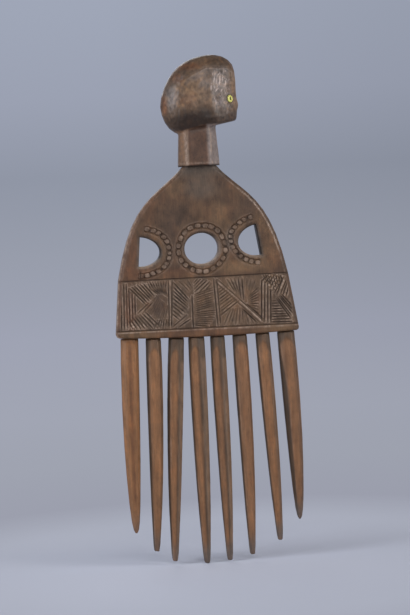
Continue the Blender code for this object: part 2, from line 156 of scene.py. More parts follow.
def move_to(form, points):
    """Puts the vertices at new places, given in millimetres, and never outside the solids' box."""
    inside = np.clip(points * MM, np.array(cad_low), np.array(cad_high))
    for vert, place in zip(form.verts, inside):
        vert.co = place


def finish_piece(name, form, finish, slot, node, colours=None, **shares):
    """Makes a piece from a bmesh. Colours and shares are painted on its vertices for the finish to read."""
    mesh = mesh_of(form, name)
    mesh.shade_smooth()
    if colours is not None:
        layer = mesh.attributes.new("patina_and_light", "FLOAT_COLOR", "POINT")
        solid = np.column_stack([np.clip(colours, 0, 1), np.ones(len(colours))])
        layer.data.foreach_set("color", solid.astype(np.float32).ravel())
    for key, values in shares.items():
        layer = mesh.attributes.new(key, "FLOAT", "POINT")
        layer.data.foreach_set("value", np.clip(values, 0, 1).astype(np.float32))
    mesh.materials.append(finish)
    piece = add_object(name, mesh)
    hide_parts(node)
    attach(piece, "root")
    print(f"{name}: {sum(len(face.vertices) - 2 for face in mesh.polygons)} triangles")


def even_skin(node, voxel, rounds):
    """A copy of a solid with an even skin of small quads, its edges softened by rounds of smoothing."""
    rough = add_object(node + " skin", mesh_of(copy_of(node), node + " skin"))
    step = rough.modifiers.new("even skin", "REMESH")
    step.mode = "VOXEL"
    step.voxel_size = voxel
    even = bmesh.new()
    even.from_object(rough, bpy.context.evaluated_depsgraph_get())
    bpy.data.objects.remove(rough, do_unlink=True)
    axes = {"use_axis_x": True, "use_axis_y": True, "use_axis_z": True}
    for _ in range(rounds):
        bmesh.ops.smooth_vert(even, verts=even.verts, factor=0.5, **axes)
    return even


plate_form = copy_of("comb_plate")
print("corners of the plate's solid, once joined:", len(plate_form.verts))

# %% [markdown]
# ## Masks
#
# A mask is a number from 0 to 1 at every vertex, which says how much of a cut or a colour lands there.
# Masks could be painted by hand. Written as formulas of the place they stay sharp at any grid, and they
# multiply: a stain times a noise is a broken stain.


# %% Define the masks
def smooth_step(values, start, end):
    """Rises softly from 0 at start to 1 at end."""
    share = np.clip((values - start) / (end - start), 0.0, 1.0)
    return share * share * (3 - 2 * share)


def fade(values, start, end):
    """Falls softly from 1 at start to 0 at end."""
    return 1 - smooth_step(values, start, end)


def hump(values, middle, half_width):
    """1 at the middle, falling softly to 0 at half_width from it."""
    return fade(np.abs(values - middle), 0.0, half_width)


def between(values, low, high, soft):
    """1 from low to high, falling softly to 0 outside them."""
    return smooth_step(values, low - soft, low + soft) * fade(values, high - soft, high + soft)


def spot(x, up, at_x, at_up, wide, high):
    """1 in the middle of a soft oval spot, falling to 0 past its edge."""
    return fade(np.hypot((x - at_x) / wide, (up - at_up) / high), 0.35, 1.25)


def blotch(points, scales, seed):
    """Soft noise from -1 to 1, stretched by a scale in millimetres along each axis."""
    shift = Vector((seed * 17.3, seed * 5.9, seed * 11.7))
    return np.array([noise.noise(Vector(place) + shift) for place in points / np.array(scales)])


def ripple(points, scales, seed):
    """The same noise from 0 to 1, for hollows that only go inwards."""
    return 0.5 + 0.5 * blotch(points, scales, seed)


print("a hump at 0, half way and at its edge:", hump(np.array([0.0, 0.5, 1.0]), 0.0, 1.0))

# %% [markdown]
# ## Colours of old wood
#
# Handled wood darkens unevenly: oil and smoke stain it nearly black, rubbing brings a warmer, redder
# brown back, and dust settles in the cuts. Each colour is picked as a hex value, the way a screen shows
# it, and made linear, because light adds up in linear values. The slow changes of colour over a piece
# are painted on its vertices, and so are painted light and shade. The fine grain comes later, from the
# finish.


# %% Pick the colours
def linear(colour):
    """The linear value of an sRGB colour such as #5a4941."""
    parts = [int(colour[i : i + 2], 16) / 255 for i in (1, 3, 5)]
    return np.array([p / 12.92 if p <= 0.04045 else ((p + 0.055) / 1.055) ** 2.4 for p in parts])


PLATE_BROWN = linear("#503926")
PLATE_RED = linear("#603e27")
PLATE_DARK = linear("#3d2e24")
PLATE_TAN = linear("#6d5339")
PLATE_GREY = linear("#4f443b")
BAND_BROWN = linear("#5b4735")
# Greyer tone laid towards the plate's top, under the neck
TOP_GREY = linear("#4e4c46")
# Dark brown of dirt in cuts and pores, also used as painted shade on hole walls and at joins
DIRT_AND_SHADE = linear("#281e17")
# Pale tone of rubbed edges, also used for painted light and painted highlights
RUBBED_AND_LIT = linear("#a18b7a")


def paint(colours, *layers):
    """Lays colours over the ones that are there, in order, each with its share at every vertex."""
    for colour, share in layers:
        share = np.clip(share, 0.0, 1.0)[:, None]
        colours = colours * (1 - share) + colour * share
    return colours


def stains(x, up, rows):
    """Layers for a table of stains: the middle and the radii of each, its colour and its strength."""
    return [(colour, strength * spot(x, up, *place)) for *place, colour, strength in rows]


print("brown of the plate, made linear:", PLATE_BROWN.round(4))

# %% [markdown]
# ## The plate's grid
#
# Carving moves vertices, so the front needs many of them, and the outline and the piercings have to stay
# crisp. A remesh would blur those edges. Planes that bisect the copy keep them instead, because a cut
# face keeps its outline. The band and the rings then get a finer grid than the plain wood.

# %% Cut the plate into a grid
GRID = 0.54 * MM
GRID_START_SHARE = 0.37
SNAP = 0.04 * MM

plate_low, plate_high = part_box("comb_plate")
HALF_THICKNESS = plate_high.y / MM
HALF_WIDTH = plate_high.x / MM
RIM_SAG = 0.82
RIM_DROP = 0.25
RIM_Z = plate_low.z / MM + RIM_SAG
RIM_REACH = 0.3
ARRIS = 1.1
BORDER = 2.4
BAND_TOP = 20.2
BAND_HALF = 31.0
PLATE_TOP = 59.3


def border_top(x):
    """Height of the lower long line above the rim, which drops a little to the right."""
    return BORDER - RIM_DROP * x / HALF_WIDTH


def cut_grid(form, step):
    """Cuts every face with planes across X and then across Z."""
    for axis in (0, 2):
        place = plate_low[axis] + GRID_START_SHARE * step
        while place < plate_high[axis]:
            origin, across = Vector(), Vector()
            origin[axis], across[axis] = place, 1.0
            geometry = form.verts[:] + form.edges[:] + form.faces[:]
            bmesh.ops.bisect_plane(form, geom=geometry, dist=SNAP, plane_co=origin, plane_no=across)
            place += step


def outline_loops(form, depth):
    """Loops of points where a plane across Y cuts the plate: the outer one, then its holes by x."""
    cut = form.copy()
    geometry = cut.verts[:] + cut.edges[:] + cut.faces[:]
    made = bmesh.ops.bisect_plane(cut, geom=geometry, plane_co=(0, depth * MM, 0), plane_no=(0, 1, 0))
    links = {}
    for edge in made["geom_cut"]:
        if isinstance(edge, bmesh.types.BMEdge):
            for vert in edge.verts:
                links.setdefault(vert, []).append(edge.other_vert(vert))
    loops = []
    while links:
        vert = next(iter(links))
        loop = []
        while vert:
            loop.append((vert.co.x / MM, vert.co.z / MM - RIM_Z))
            vert = next((other for other in links.pop(vert) if other in links), None)
        loops.append(loop)
    cut.free()
    outer = max(loops, key=lambda loop: max(x for x, up in loop))
    loops.remove(outer)
    return outer, sorted(loops, key=lambda loop: np.mean([x for x, up in loop]))


def sides_of(loop):
    """The straight stretches of a closed loop, without the one that the neck stands on."""
    pairs = zip(loop, loop[1:] + loop[:1])
    return [(a, b) for a, b in pairs if min(a[1], b[1]) < PLATE_TOP - RIM_REACH]


def distance_to(x, up, stretches):
    """Distance of each point from the nearest stretch of an outline."""
    nearest = np.full(len(x), np.inf)
    for (ax, az), (bx, bz) in stretches:
        dx, dz = bx - ax, bz - az
        along = np.clip(((x - ax) * dx + (up - az) * dz) / (dx * dx + dz * dz), 0, 1)
        nearest = np.minimum(nearest, np.hypot(x - ax - along * dx, up - az - along * dz))
    return nearest


flat_enough = math.radians(0.5)
bmesh.ops.dissolve_limit(plate_form, angle_limit=flat_enough, verts=plate_form.verts, edges=plate_form.edges)
outer_loop, hole_loops = outline_loops(plate_form, depth=3.0)
OUTER_SIDES = [side for side in sides_of(outer_loop) if max(side[0][1], side[1][1]) > RIM_REACH]
RIM_SIDES = [side for side in sides_of(outer_loop) if max(side[0][1], side[1][1]) <= RIM_REACH]
HOLE_SIDES = [sides_of(loop) for loop in hole_loops]
print("outline stretches:", len(OUTER_SIDES), "holes:", [len(sides) for sides in HOLE_SIDES])
cut_grid(plate_form, GRID)
print("faces after the grid:", len(plate_form.faces))

# %% [markdown]
# ## Rings of pearls round the piercings
#
# Each piercing has a border of small raised pearls. On the real plate the carver cuts two grooves and
# then notches the ridge that they leave, so the pearls are squarish and no two are alike. A ring is
# written here in the same way: a channel along an oval, and a block left standing for every pearl.

# %% Lay out the rings
PEARL_SHARE = 0.44
PEARL_HALF_WIDTH = 0.88
PEARL_FLATNESS = 1.7
PEARL_RISE = 0.94
PEARL_NUDGE = 2.2
CHANNEL_DEPTH = 0.50
CHANNEL_HALF = 1.20
CHANNEL_SCALLOP = 0.22
RING_WOBBLE = 0.12

# Centre from the plate's middle and up from the rim, radii, tilt, angles of the end pearls, how many
RINGS = (
    ((-0.75, 30.4), (8.35, 8.15), 0.0, -171.0, 171.0, 20),
    ((-22.95, 30.2), (10.8, 8.5), -3.8, -88.0, 76.0, 14),
    ((19.7, 32.4), (10.2, 8.0), -10.0, 114.0, 273.0, 13),
)


def pearls_of(number):
    """Angle, size, height and sideways place of each pearl of a ring, uneven as a knife leaves them."""
    first, last, count = RINGS[number][3:]
    draw = random.Random(number + 1)
    rows = []
    for place in range(count):
        angle = first + (last - first) / (count - 1) * place + draw.uniform(-PEARL_NUDGE, PEARL_NUDGE)
        rows.append((angle, draw.uniform(0.80, 1.08), draw.uniform(0.60, 1.0), draw.uniform(-0.14, 0.14)))
    return np.array(rows)


PEARLS = [pearls_of(number) for number in range(len(RINGS))]


def ring_marks(x, up, number):
    """How deep a ring cuts, its pearls and dirt there, the place across the ring, and how far it runs."""
    (centre_x, centre_up), (wide, high), tilt, first, last, count = RINGS[number]
    turn = math.radians(tilt)
    away_x, away_up = x - centre_x, up - centre_up
    local_x = (away_x * math.cos(turn) + away_up * math.sin(turn)) / wide
    local_up = (away_up * math.cos(turn) - away_x * math.sin(turn)) / high
    reach = np.maximum(np.hypot(local_x, local_up), 1e-6)
    radius = np.hypot(away_x, away_up) / reach
    step = (last - first) / (count - 1)
    start = first - step / 2
    angle = start + (np.degrees(np.arctan2(local_up, local_x)) - start) % 360
    off_line = (reach - 1) * radius + RING_WOBBLE * np.sin(np.radians(angle) * 5 + number)
    within = smooth_step(angle, start, start + 4) * fade(angle, last + 3, last + 8)
    if last - first + step > 359:
        within = np.ones(len(x))
    near = np.abs(angle[:, None] - PEARLS[number][:, 0]).argmin(axis=1)
    place, size, height, sideways = PEARLS[number][near].T
    off_pearl = np.radians(angle - place) * radius
    half_length = PEARL_SHARE * math.radians(step) * radius * size
    across = np.abs((off_line - sideways) / PEARL_HALF_WIDTH) ** 3
    along = np.abs(off_pearl / half_length) ** 3
    pearl = np.clip(PEARL_FLATNESS * (1 - across - along), 0, 1) * height * within
    scallop = CHANNEL_SCALLOP * np.clip(np.abs(off_pearl) / half_length, 0, 1.2) ** 2
    channel = fade(np.abs(off_line) + scallop, CHANNEL_HALF - 0.30, CHANNEL_HALF) * within
    dirt = channel * (1 - pearl) * (0.38 + 0.62 * hump(off_line, 0.0, 0.9))
    return CHANNEL_DEPTH * channel * (1 - PEARL_RISE * pearl), pearl, dirt, off_line, within


print("pearls in each ring:", [len(pearls) for pearls in PEARLS])

# %% [markdown]
# ## Strokes of the band
#
# The band is a patchwork of straight knife cuts: parallel strokes, fans, a star and a crossed corner.
# Each patch is two guide lines and a count, and its strokes run from the one line to the other. That
# keeps the hand's unevenness, because the guides are given one by one and every stroke is nudged a little.

# %% Lay out the strokes
STROKE_WIDTH = 0.68
STROKE_DEPTH = 0.44
STROKE_NUDGE = 0.09
STROKE_RUN_OUT = 1.2
STROKE_END = 0.45
RIDGE_WIDTH = 0.75
CLOSER = 1.3

# How many strokes, the guide lines that they start and end on, in percent of the band's half width and
# of its height, how deep they are as a share of the full depth, and, where they bow, by what share of
# their length
PATCHES = (
    # Left panel: upright strokes, slanting ones round a plain diamond, and a fan that turns upright
    (3, (-96.5, 95, -90.5, 95), (-99, 3, -92, 4), 0.9),
    (3, (-88, 86, -81.5, 71), (-89, 10, -82.5, 33), 1.0),
    (5, (-87.5, 86, -72, 95.5), (-70, 53, -60, 68), 1.0),
    (6, (-67, 96, -45, 96), (-56, 72, -50, 74, -45, 66), 0.9, 0.12),
    (6, (-90, 20, -83, 27, -71, 37), (-86, 5, -73, 3, -54, 5), 0.9),
    (2, (-79, 36, -73, 37), (-66.5, 54, -62, 55), 0.8),
    (6, (-66, 34, -49, 20), (-55, 64, -45.5, 46), 0.36),
    (5, (-57, 20, -45, 20), (-61, 4, -45.5, 3), 0.8),
    (2, (-42.5, 97, -38.5, 97), (-44.5, 3, -41.5, 3), 0.9),
    # Second panel: slanting strokes over one that rises the other way
    (7, (-37, 92, -38.5, 62, -40, 30), (-21, 58, -23, 38, -33, 19), 0.95),
    (3, (-31, 95, -21, 95), (-20, 74, -16, 80), 0.45),
    (2, (-41, 4, -34, 3), (-23.5, 27, -20, 18), 0.8),
    (1, (-16.5, 64), (-17, 1), 0.95),
    # Third panel: rising strokes, level ones, and a low slanting fan
    (5, (-14, 90, -13, 72, -2, 71), (-10, 97, 0, 95, 6.5, 87), 0.85),
    (7, (-13, 67, -14, 34), (7, 78, 7, 42), 0.8),
    (6, (-14.5, 30, -14.5, 5), (8.5, 34, 7, 18, 0, 3), 0.75),
    (2, (9, 96, 12.5, 95), (11.5, 3, 14.5, 3), 0.85),
    # Star: a ridge between two long strokes, and strokes that run in to it from every side
    (2, (11.5, 89, 14, 93), (61, 3, 64.5, 6), 0.55),
    (2, (40, 33, 46, 42), (56.5, 5, 63.5, 12), 1.1),
    (7, (13.5, 74, 14, 22), (20, 81, 37, 50), 0.7),
    (5, (18.5, 4, 40, 4), (27, 34, 40, 36), 0.6),
    (3, (24, 94, 32.5, 95), (32, 70, 37, 64), 0.65),
    (2, (37.5, 95, 41.5, 95), (39, 55, 42, 52), 0.8),
    (3, (47, 93, 57, 90), (45, 60, 49, 60), 0.35),
    (7, (59.5, 74, 58.5, 24), (47, 56, 50, 34), 0.75),
    (3, (43, 30, 50, 20), (47, 4, 56, 4), 0.5),
    (3, (64, 87, 70.8, 84), (61.8, 8, 68.4, 4), 1.0),
    (1, (74.2, 72), (71.8, 4), 1.0),
    # Right end: a crossed corner, a ridge bent like a knee, and level strokes in its lap
    (5, (64, 86, 70, 78, 78, 62), (72, 98, 80, 98, 90, 93), 1.0),
    (6, (66, 98, 76, 98, 86, 97), (71, 82, 79, 66, 88, 82), 1.0),
    (2, (88.5, 90, 92.5, 86), (80.5, 58, 84.5, 58), 1.1),
    (3, (93.5, 84, 96.5, 68), (87.5, 56, 94, 50), 0.9),
    (4, (80, 50, 86.5, 58), (95.5, 10, 99, 32), 1.1),
    (7, (74.5, 46, 72.5, 4), (80, 46, 96.5, 4), 1.0),
)

# Ridges that stand out pale between the strokes, as lines in percent, and how pale they are
PALE_RIDGES = (
    ((-87.1, 80, -88.7, 18), 0.45),
    ((-84.3, 72, -85.7, 26), 0.40),
    ((-40.8, 94, -43, 4), 0.6),
    ((13, 90, 37.7, 49.8), 0.8),
    ((37.7, 49.8, 63.5, 4), 0.9),
    ((90.5, 90, 82.5, 56.2), 1.0),
    ((82.5, 56.2, 98.5, 12), 0.9),
)

# The two long lines, over and under the band, and the crack under the left piercing: ends, width, depth
LONG_LINES = (
    (-HALF_WIDTH, BAND_TOP, HALF_WIDTH, BAND_TOP, 0.58, 0.36),
    (-HALF_WIDTH, BORDER + RIM_DROP, HALF_WIDTH, BORDER - RIM_DROP, 0.60, 0.36),
    (-22.9, 24.7, -23.1, BAND_TOP, 0.42, 0.70),
)


def band_place(line, share):
    """The place in the band, in millimetres, at a share of the length of a line in percent."""
    points = np.array(line).reshape(-1, 2) / 100
    lengths = np.concatenate([[0], np.cumsum(np.hypot(*(points[1:] - points[:-1]).T))])
    x_share, up_share = [np.interp(share * lengths[-1], lengths, values) for values in points.T]
    x = x_share * BAND_HALF
    return np.array([x, border_top(x) + up_share * (BAND_TOP - border_top(x))])


def band_strokes():
    """Every stroke of the band as rows of x, height, x, height, width and depth, in millimetres."""
    draw = random.Random(7)
    rows = []
    for few, starts, ends, deep, *bow in PATCHES:
        count = round(few * CLOSER) if few > 3 else few
        for number in range(count):
            stops = []
            for line in (starts, ends):
                nudge = [draw.uniform(-STROKE_NUDGE, STROKE_NUDGE) for _ in range(2)]
                stops.append(band_place(line, number / max(count - 1, 1)) + nudge)
            if bow:
                first, last = stops
                side = np.array([first[1] - last[1], last[0] - first[0]])
                stops.insert(1, (first + last) / 2 - side * bow[0])
            depth = STROKE_DEPTH * deep * draw.uniform(0.85, 1.12)
            width = STROKE_WIDTH * (0.75 + 0.25 * deep)
            rows += [(*a, *b, width, depth) for a, b in zip(stops, stops[1:])]
    return rows


def cut_strokes(x, up, rows):
    """Depth of the V-shaped cuts, how near and how deep the nearest stroke is, and its nearest point."""
    depth, force = np.zeros(len(x)), np.zeros(len(x))
    nearest = np.full(len(x), np.inf)
    line_x, line_up = x.copy(), up.copy()
    for ax, az, bx, bz, width, deep in rows:
        dx, dz = bx - ax, bz - az
        length = math.hypot(dx, dz)
        along = np.clip(((x - ax) * dx + (up - az) * dz) / length**2, 0, 1)
        on_x, on_up = ax + along * dx, az + along * dz
        off = np.hypot(x - on_x, up - on_up)
        from_end = np.minimum(along, 1 - along) * length
        taper = STROKE_END + (1 - STROKE_END) * smooth_step(from_end, 0.0, STROKE_RUN_OUT)
        depth = np.maximum(depth, deep * taper * np.clip(1 - off / (width / 2 * taper), 0, 1) ** 0.85)
        closer = off < nearest
        nearest = np.where(closer, off, nearest)
        force = np.where(closer, deep / STROKE_DEPTH, force)
        line_x = np.where(closer, on_x, line_x)
        line_up = np.where(closer, on_up, line_up)
    return depth, nearest, force, line_x, line_up


STROKES = band_strokes()
RIDGES = [(*band_place(line, 0), *band_place(line, 1), RIDGE_WIDTH, pale) for line, pale in PALE_RIDGES]
print("strokes in the band:", len(STROKES))

# %% [markdown]
# ## The finish: old wood
#
# The wood is a dense brown hardwood, cut with a knife, oiled by hands and never varnished. Its fibres run
# up the comb, so every pattern is stretched along Z and reads Object coordinates. A picture of wood could
# be wrapped round each piece, but it would smear on the ends and show its seams. Noise in space goes right
# through the piece, as the grain does. The painted colours give the slow changes, painted light and shade
# among them, and the painted shares put dirt in the cuts and painted shade at the joins, and a paler rubbed
# tone and painted highlights on the arrises.

# %% Make the wood finishes
# Width and length of each pattern in millimetres, and its detail. Real pores are some 0.1 mm wide: they
# are drawn three times as coarse, or they wouldn't show in the picture
FIBRES = (0.50, 7.0, 3.0)
PORES = (0.30, 2.6, 2.0)
BUMP_HEIGHT = 0.08 * MM


def add(tree, kind, inputs=None, out=0, **options):
    """Adds a node with its options and its input values or links, and gives the output asked for."""
    made = tree.nodes.new("ShaderNode" + kind)
    for option, value in options.items():
        setattr(made, option, value)
    for socket, value in (inputs or {}).items():
        if isinstance(value, bpy.types.NodeSocket):
            tree.links.new(value, made.inputs[socket])
        else:
            made.inputs[socket].default_value = value
    return made.outputs[out]


def start_finish(name, values):
    """A new material, its nodes, its shader with some values set, and the place that patterns read."""
    material = bpy.data.materials.new(name)
    material.use_nodes = True
    tree = material.node_tree
    shader = tree.nodes["Principled BSDF"]
    for socket, value in values.items():
        shader.inputs[socket].default_value = value
    return material, tree, shader, add(tree, "TexCoord", out="Object")


def old_wood(name, clouds, flecks, contrast, streaks, roughness, shade):
    """Oiled wood with painted colours, painted light and shade among them: sizes of clouds and flecks in mm,
    strengths, gloss, dark tint.
    """
    values = {"IOR": 1.5, "Specular IOR Level": 0.35}
    material, tree, shader, place = start_finish(name, values)
    colour = add(tree, "Attribute", attribute_name="patina_and_light")
    # Painted shares: dirt with painted shade at joins, and rubbing with painted highlights and sheen
    dirt_and_shade, wear_and_sheen = [add(tree, "Attribute", out="Fac", attribute_name=share) for share in ("dirt_and_shade", "wear_and_sheen")]
    sizes = {"fibres": FIBRES, "pores": PORES}
    sizes |= {"clouds": (clouds, clouds * 1.6, 3.0), "flecks": (flecks, flecks * 1.5, 3.0)}
    grain = {}
    for pattern, (width, length, detail) in sizes.items():
        scale = (1 / (width * MM), 1 / (width * MM), 1 / (length * MM))
        stretched = add(tree, "Mapping", {"Vector": place, "Scale": scale})
        settings = {"Vector": stretched, "Scale": 1.0, "Detail": detail, "Roughness": 0.6}
        grain[pattern] = add(tree, "TexNoise", settings)

    # Each layer: the pattern, where it starts and ends, its strength, how it mixes, and its colour
    layers = (
        ("clouds", 0.52, 0.68, contrast, "MULTIPLY", shade),
        ("clouds", 0.48, 0.32, contrast, "MULTIPLY", (1.35, 1.18, 1.02)),
        ("flecks", 0.54, 0.70, contrast, "MULTIPLY", (0.55, 0.54, 0.56)),
        ("flecks", 0.46, 0.30, contrast, "MULTIPLY", (1.36, 1.30, 1.22)),
        ("fibres", 0.50, 0.70, streaks, "MULTIPLY", (0.66, 0.64, 0.63)),
        ("fibres", 0.50, 0.30, streaks, "MULTIPLY", (1.30, 1.26, 1.20)),
        ("pores", 0.60, 0.72, 0.5 * streaks, "MIX", DIRT_AND_SHADE),
    )
    for pattern, start, end, strength, blend, tint in layers:
        limits = {"Value": grain[pattern], "From Min": start, "From Max": end, "To Max": strength}
        mix = {0: add(tree, "MapRange", limits), 6: colour, 7: (*tint, 1.0)}
        colour = add(tree, "Mix", mix, 2, data_type="RGBA", blend_type=blend)

    # Rubbed places and painted highlights show pale where the flecks are pale; dirt and painted shade darken
    # the cuts and joins
    limits = {"Value": grain["flecks"], "From Min": 0.62, "From Max": 0.40, "To Min": 0.35}
    rub_and_sheen = add(tree, "Math", {0: wear_and_sheen, 1: add(tree, "MapRange", limits)}, operation="MULTIPLY")
    for share, tint in ((rub_and_sheen, RUBBED_AND_LIT), (dirt_and_shade, DIRT_AND_SHADE)):
        colour = add(tree, "Mix", {0: share, 6: colour, 7: (*tint, 1.0)}, 2, data_type="RGBA")
    tree.links.new(colour, shader.inputs["Base Color"])

    limits = {"Value": grain["clouds"], "From Min": 0.3, "From Max": 0.7}
    limits |= {"To Min": roughness - 0.07, "To Max": roughness + 0.10}
    dusty = {0: dirt_and_shade, 1: 0.3, 2: add(tree, "MapRange", limits)}
    tree.links.new(add(tree, "Math", dusty, operation="MULTIPLY_ADD"), shader.inputs["Roughness"])
    relief = add(tree, "Math", {0: grain["fibres"], 1: grain["flecks"]}, operation="ADD")
    bump = add(tree, "Bump", {"Strength": 0.6, "Distance": BUMP_HEIGHT, "Height": relief})
    tree.links.new(bump, shader.inputs["Normal"])
    return material


# The plate is dull with oil and smoke, the teeth are warmer and streaky where hair has rubbed them, and
# the head has the soft gloss that hands give
PLATE_WOOD = old_wood("patinated hardwood, oiled and smoked", 4.0, 1.0, 0.55, 0.42, 0.52, (0.60, 0.60, 0.64))
TOOTH_WOOD = old_wood("whittled hardwood, rubbed by hair", 4.0, 1.2, 0.36, 0.55, 0.48, (0.76, 0.66, 0.56))
HEAD_WOOD = old_wood("carved hardwood, polished by hands", 2.6, 0.8, 0.65, 0.18, 0.42, (0.62, 0.59, 0.58))
print("finishes:", ", ".join(finish.name for finish in (PLATE_WOOD, TOOTH_WOOD, HEAD_WOOD)))

# %% [markdown]
# ## Carving the plate
#
# The front is one height field: the wood's own unevenness, the chamfered arris, the worn edges of the
# piercings, and then the cuts. The faces under a fine cut are subdivided first, and only those. The
# back has no ornament and gets the scraper's marks alone.

# %% Carve the plate
FINE_CUTS = 2
UNEVEN = 0.10
FIBRE_RELIEF = 0.022
HOLE_WEAR = 0.70
RIM_ARRIS = 0.40
FIELD_SINK = 0.12

# Half width and half thickness of the tenon, how far the shoulders beside it rise to close the seam, and
# how much further the corners do, with the place and half width of a corner
TENON = (2.9, 2.4)
SEAM_CLOSE = 0.14
CORNER_LIFT = 0.22
CORNER = (5.7, 1.1)


def fine_area(x, up):
    """True where the front carries cuts that need a finer grid."""
    fine = (up > border_top(x) - 0.9) & (up < BAND_TOP + 0.9)
    for number in range(len(RINGS)):
        off_line, within = ring_marks(x, up, number)[3:]
        fine |= (np.abs(off_line) < CHANNEL_HALF + 0.4) & (within > 0)
    return fine


def refine(form):
    """Subdivides the faces that the cuts cross."""
    faces = [face for face in form.faces if face.normal.y < -0.5]
    places = np.array([face.calc_center_median() for face in faces]) / MM
    fine = fine_area(places[:, 0], places[:, 2] - RIM_Z)
    edges = dict.fromkeys(edge for face, needed in zip(faces, fine) if needed for edge in face.edges)
    bmesh.ops.subdivide_edges(form, edges=list(edges), cuts=FINE_CUTS, use_grid_fill=True)


def chamfer(distance, width):
    """How far a flat chamfer with soft arrises falls away at a distance in from the edge."""
    inward = np.clip(width - distance, 0, width)
    return inward * smooth_step(inward, -0.25 * width, 0.35 * width)


def plate_field(x, up):
    """What the carver's marks are at each place of the front: cuts, pearls, edges and the band's field."""
    edge = distance_to(x, up, OUTER_SIDES)
    inner = smooth_step(edge, 1.0, 1.5)
    strokes, nearest, force, line_x, line_up = cut_strokes(x, up, STROKES)
    cuts = np.maximum(strokes * inner, cut_strokes(x, up, LONG_LINES)[0])
    dirt = smooth_step(cuts, 0.04, 0.36)
    pearls, lips = np.zeros(len(x)), np.zeros(len(x))
    for number in range(len(RINGS)):
        depth, pearl, ring_dirt, off_line, within = ring_marks(x, up, number)
        cuts = np.maximum(cuts, depth)
        dirt = np.maximum(dirt, ring_dirt)
        pearls = np.maximum(pearls, pearl)
        lips = np.maximum(lips, within * hump(np.abs(off_line), CHANNEL_HALF + 0.25, 0.35))
    band = between(up, border_top(x), BAND_TOP, 0.25) * inner
    return {
        "edge": edge,
        "rim": distance_to(x, up, RIM_SIDES),
        "hole": np.min([distance_to(x, up, sides) for sides in HOLE_SIDES], axis=0),
        "cuts": cuts,
        "dirt": dirt,
        "pearls": pearls,
        "lips": lips,
        "band": band,
        "ridges": hump(nearest, 0.44, 0.24) * band * force,
        "pale": smooth_step(cut_strokes(x, up, RIDGES)[0], 0.1, 0.7) * band,
        "snap": ((nearest < 0.10) & (strokes > 0.02) & (edge > 1.3), line_x, line_up),
    }


def carve_plate(form):
    """Moves the front and the back to their height fields."""
    points = points_of(form)
    x, up = points[:, 0].copy(), points[:, 2] - RIM_Z
    front = points[:, 1] < -(HALF_THICKNESS - ARRIS) + 0.02
    back = points[:, 1] > HALF_THICKNESS - ARRIS - 0.02
    field = plate_field(x, up)
    snap, line_x, line_up = field["snap"]
    points[front & snap, 0] = line_x[front & snap]
    points[front & snap, 2] = line_up[front & snap] + RIM_Z

    flat = np.column_stack([x, np.zeros(len(x)), up])
    inner = smooth_step(field["edge"], 0.0, 2.0)
    fibre = FIBRE_RELIEF * ripple(flat, (0.8, 0.8, 5.0), 2)
    edges = np.maximum(chamfer(field["edge"], ARRIS), chamfer(field["rim"], RIM_ARRIS))
    edges = np.maximum(edges, 0.7 * chamfer(field["hole"], HOLE_WEAR))
    depth = edges + UNEVEN * ripple(flat, (7.0, 7.0, 12.0), 1) * inner + fibre
    depth += FIELD_SINK * field["band"] + field["cuts"]
    points[front, 1] = -HALF_THICKNESS + depth[front]
    scraped = edges + 1.6 * UNEVEN * ripple(flat, (6.0, 6.0, 22.0), 3) * inner + fibre
    points[back, 1] = HALF_THICKNESS - scraped[back]

    off_tenon = (np.abs(x) > TENON[0]) | (np.abs(points[:, 1]) > TENON[1])
    shoulder = smooth_step(up, PLATE_TOP - 1.6, PLATE_TOP - 0.7) * off_tenon
    lifted = points[:, 2] + shoulder * (SEAM_CLOSE + CORNER_LIFT * hump(np.abs(x), *CORNER))
    flush = np.minimum(lifted, RIM_Z + PLATE_TOP + SEAM_CLOSE)
    points[:, 2] = np.where(shoulder > 0, flush, points[:, 2])
    move_to(form, points)


refine(plate_form)
carve_plate(plate_form)
bmesh.ops.remove_doubles(plate_form, verts=plate_form.verts, dist=WELD)
print("vertices of the plate:", len(plate_form.verts))

# %% [markdown]
# ## Ageing the plate
#
# The flanks outside the half-round piercings are redder, where fingers hold the comb, and the middle of
# the arch is smudged dark. The band is a greyer brown. Cuts hold dirt, and every arris is rubbed pale.
# The outer wall is paler on the left, and the right arris and the upper edge of the rim's border get a
# painted highlight. The piercings' walls get painted light where they face up and painted shade where they
# face down, and the walls that face left are painted dark in the half-round piercings and pale in the round
# one.

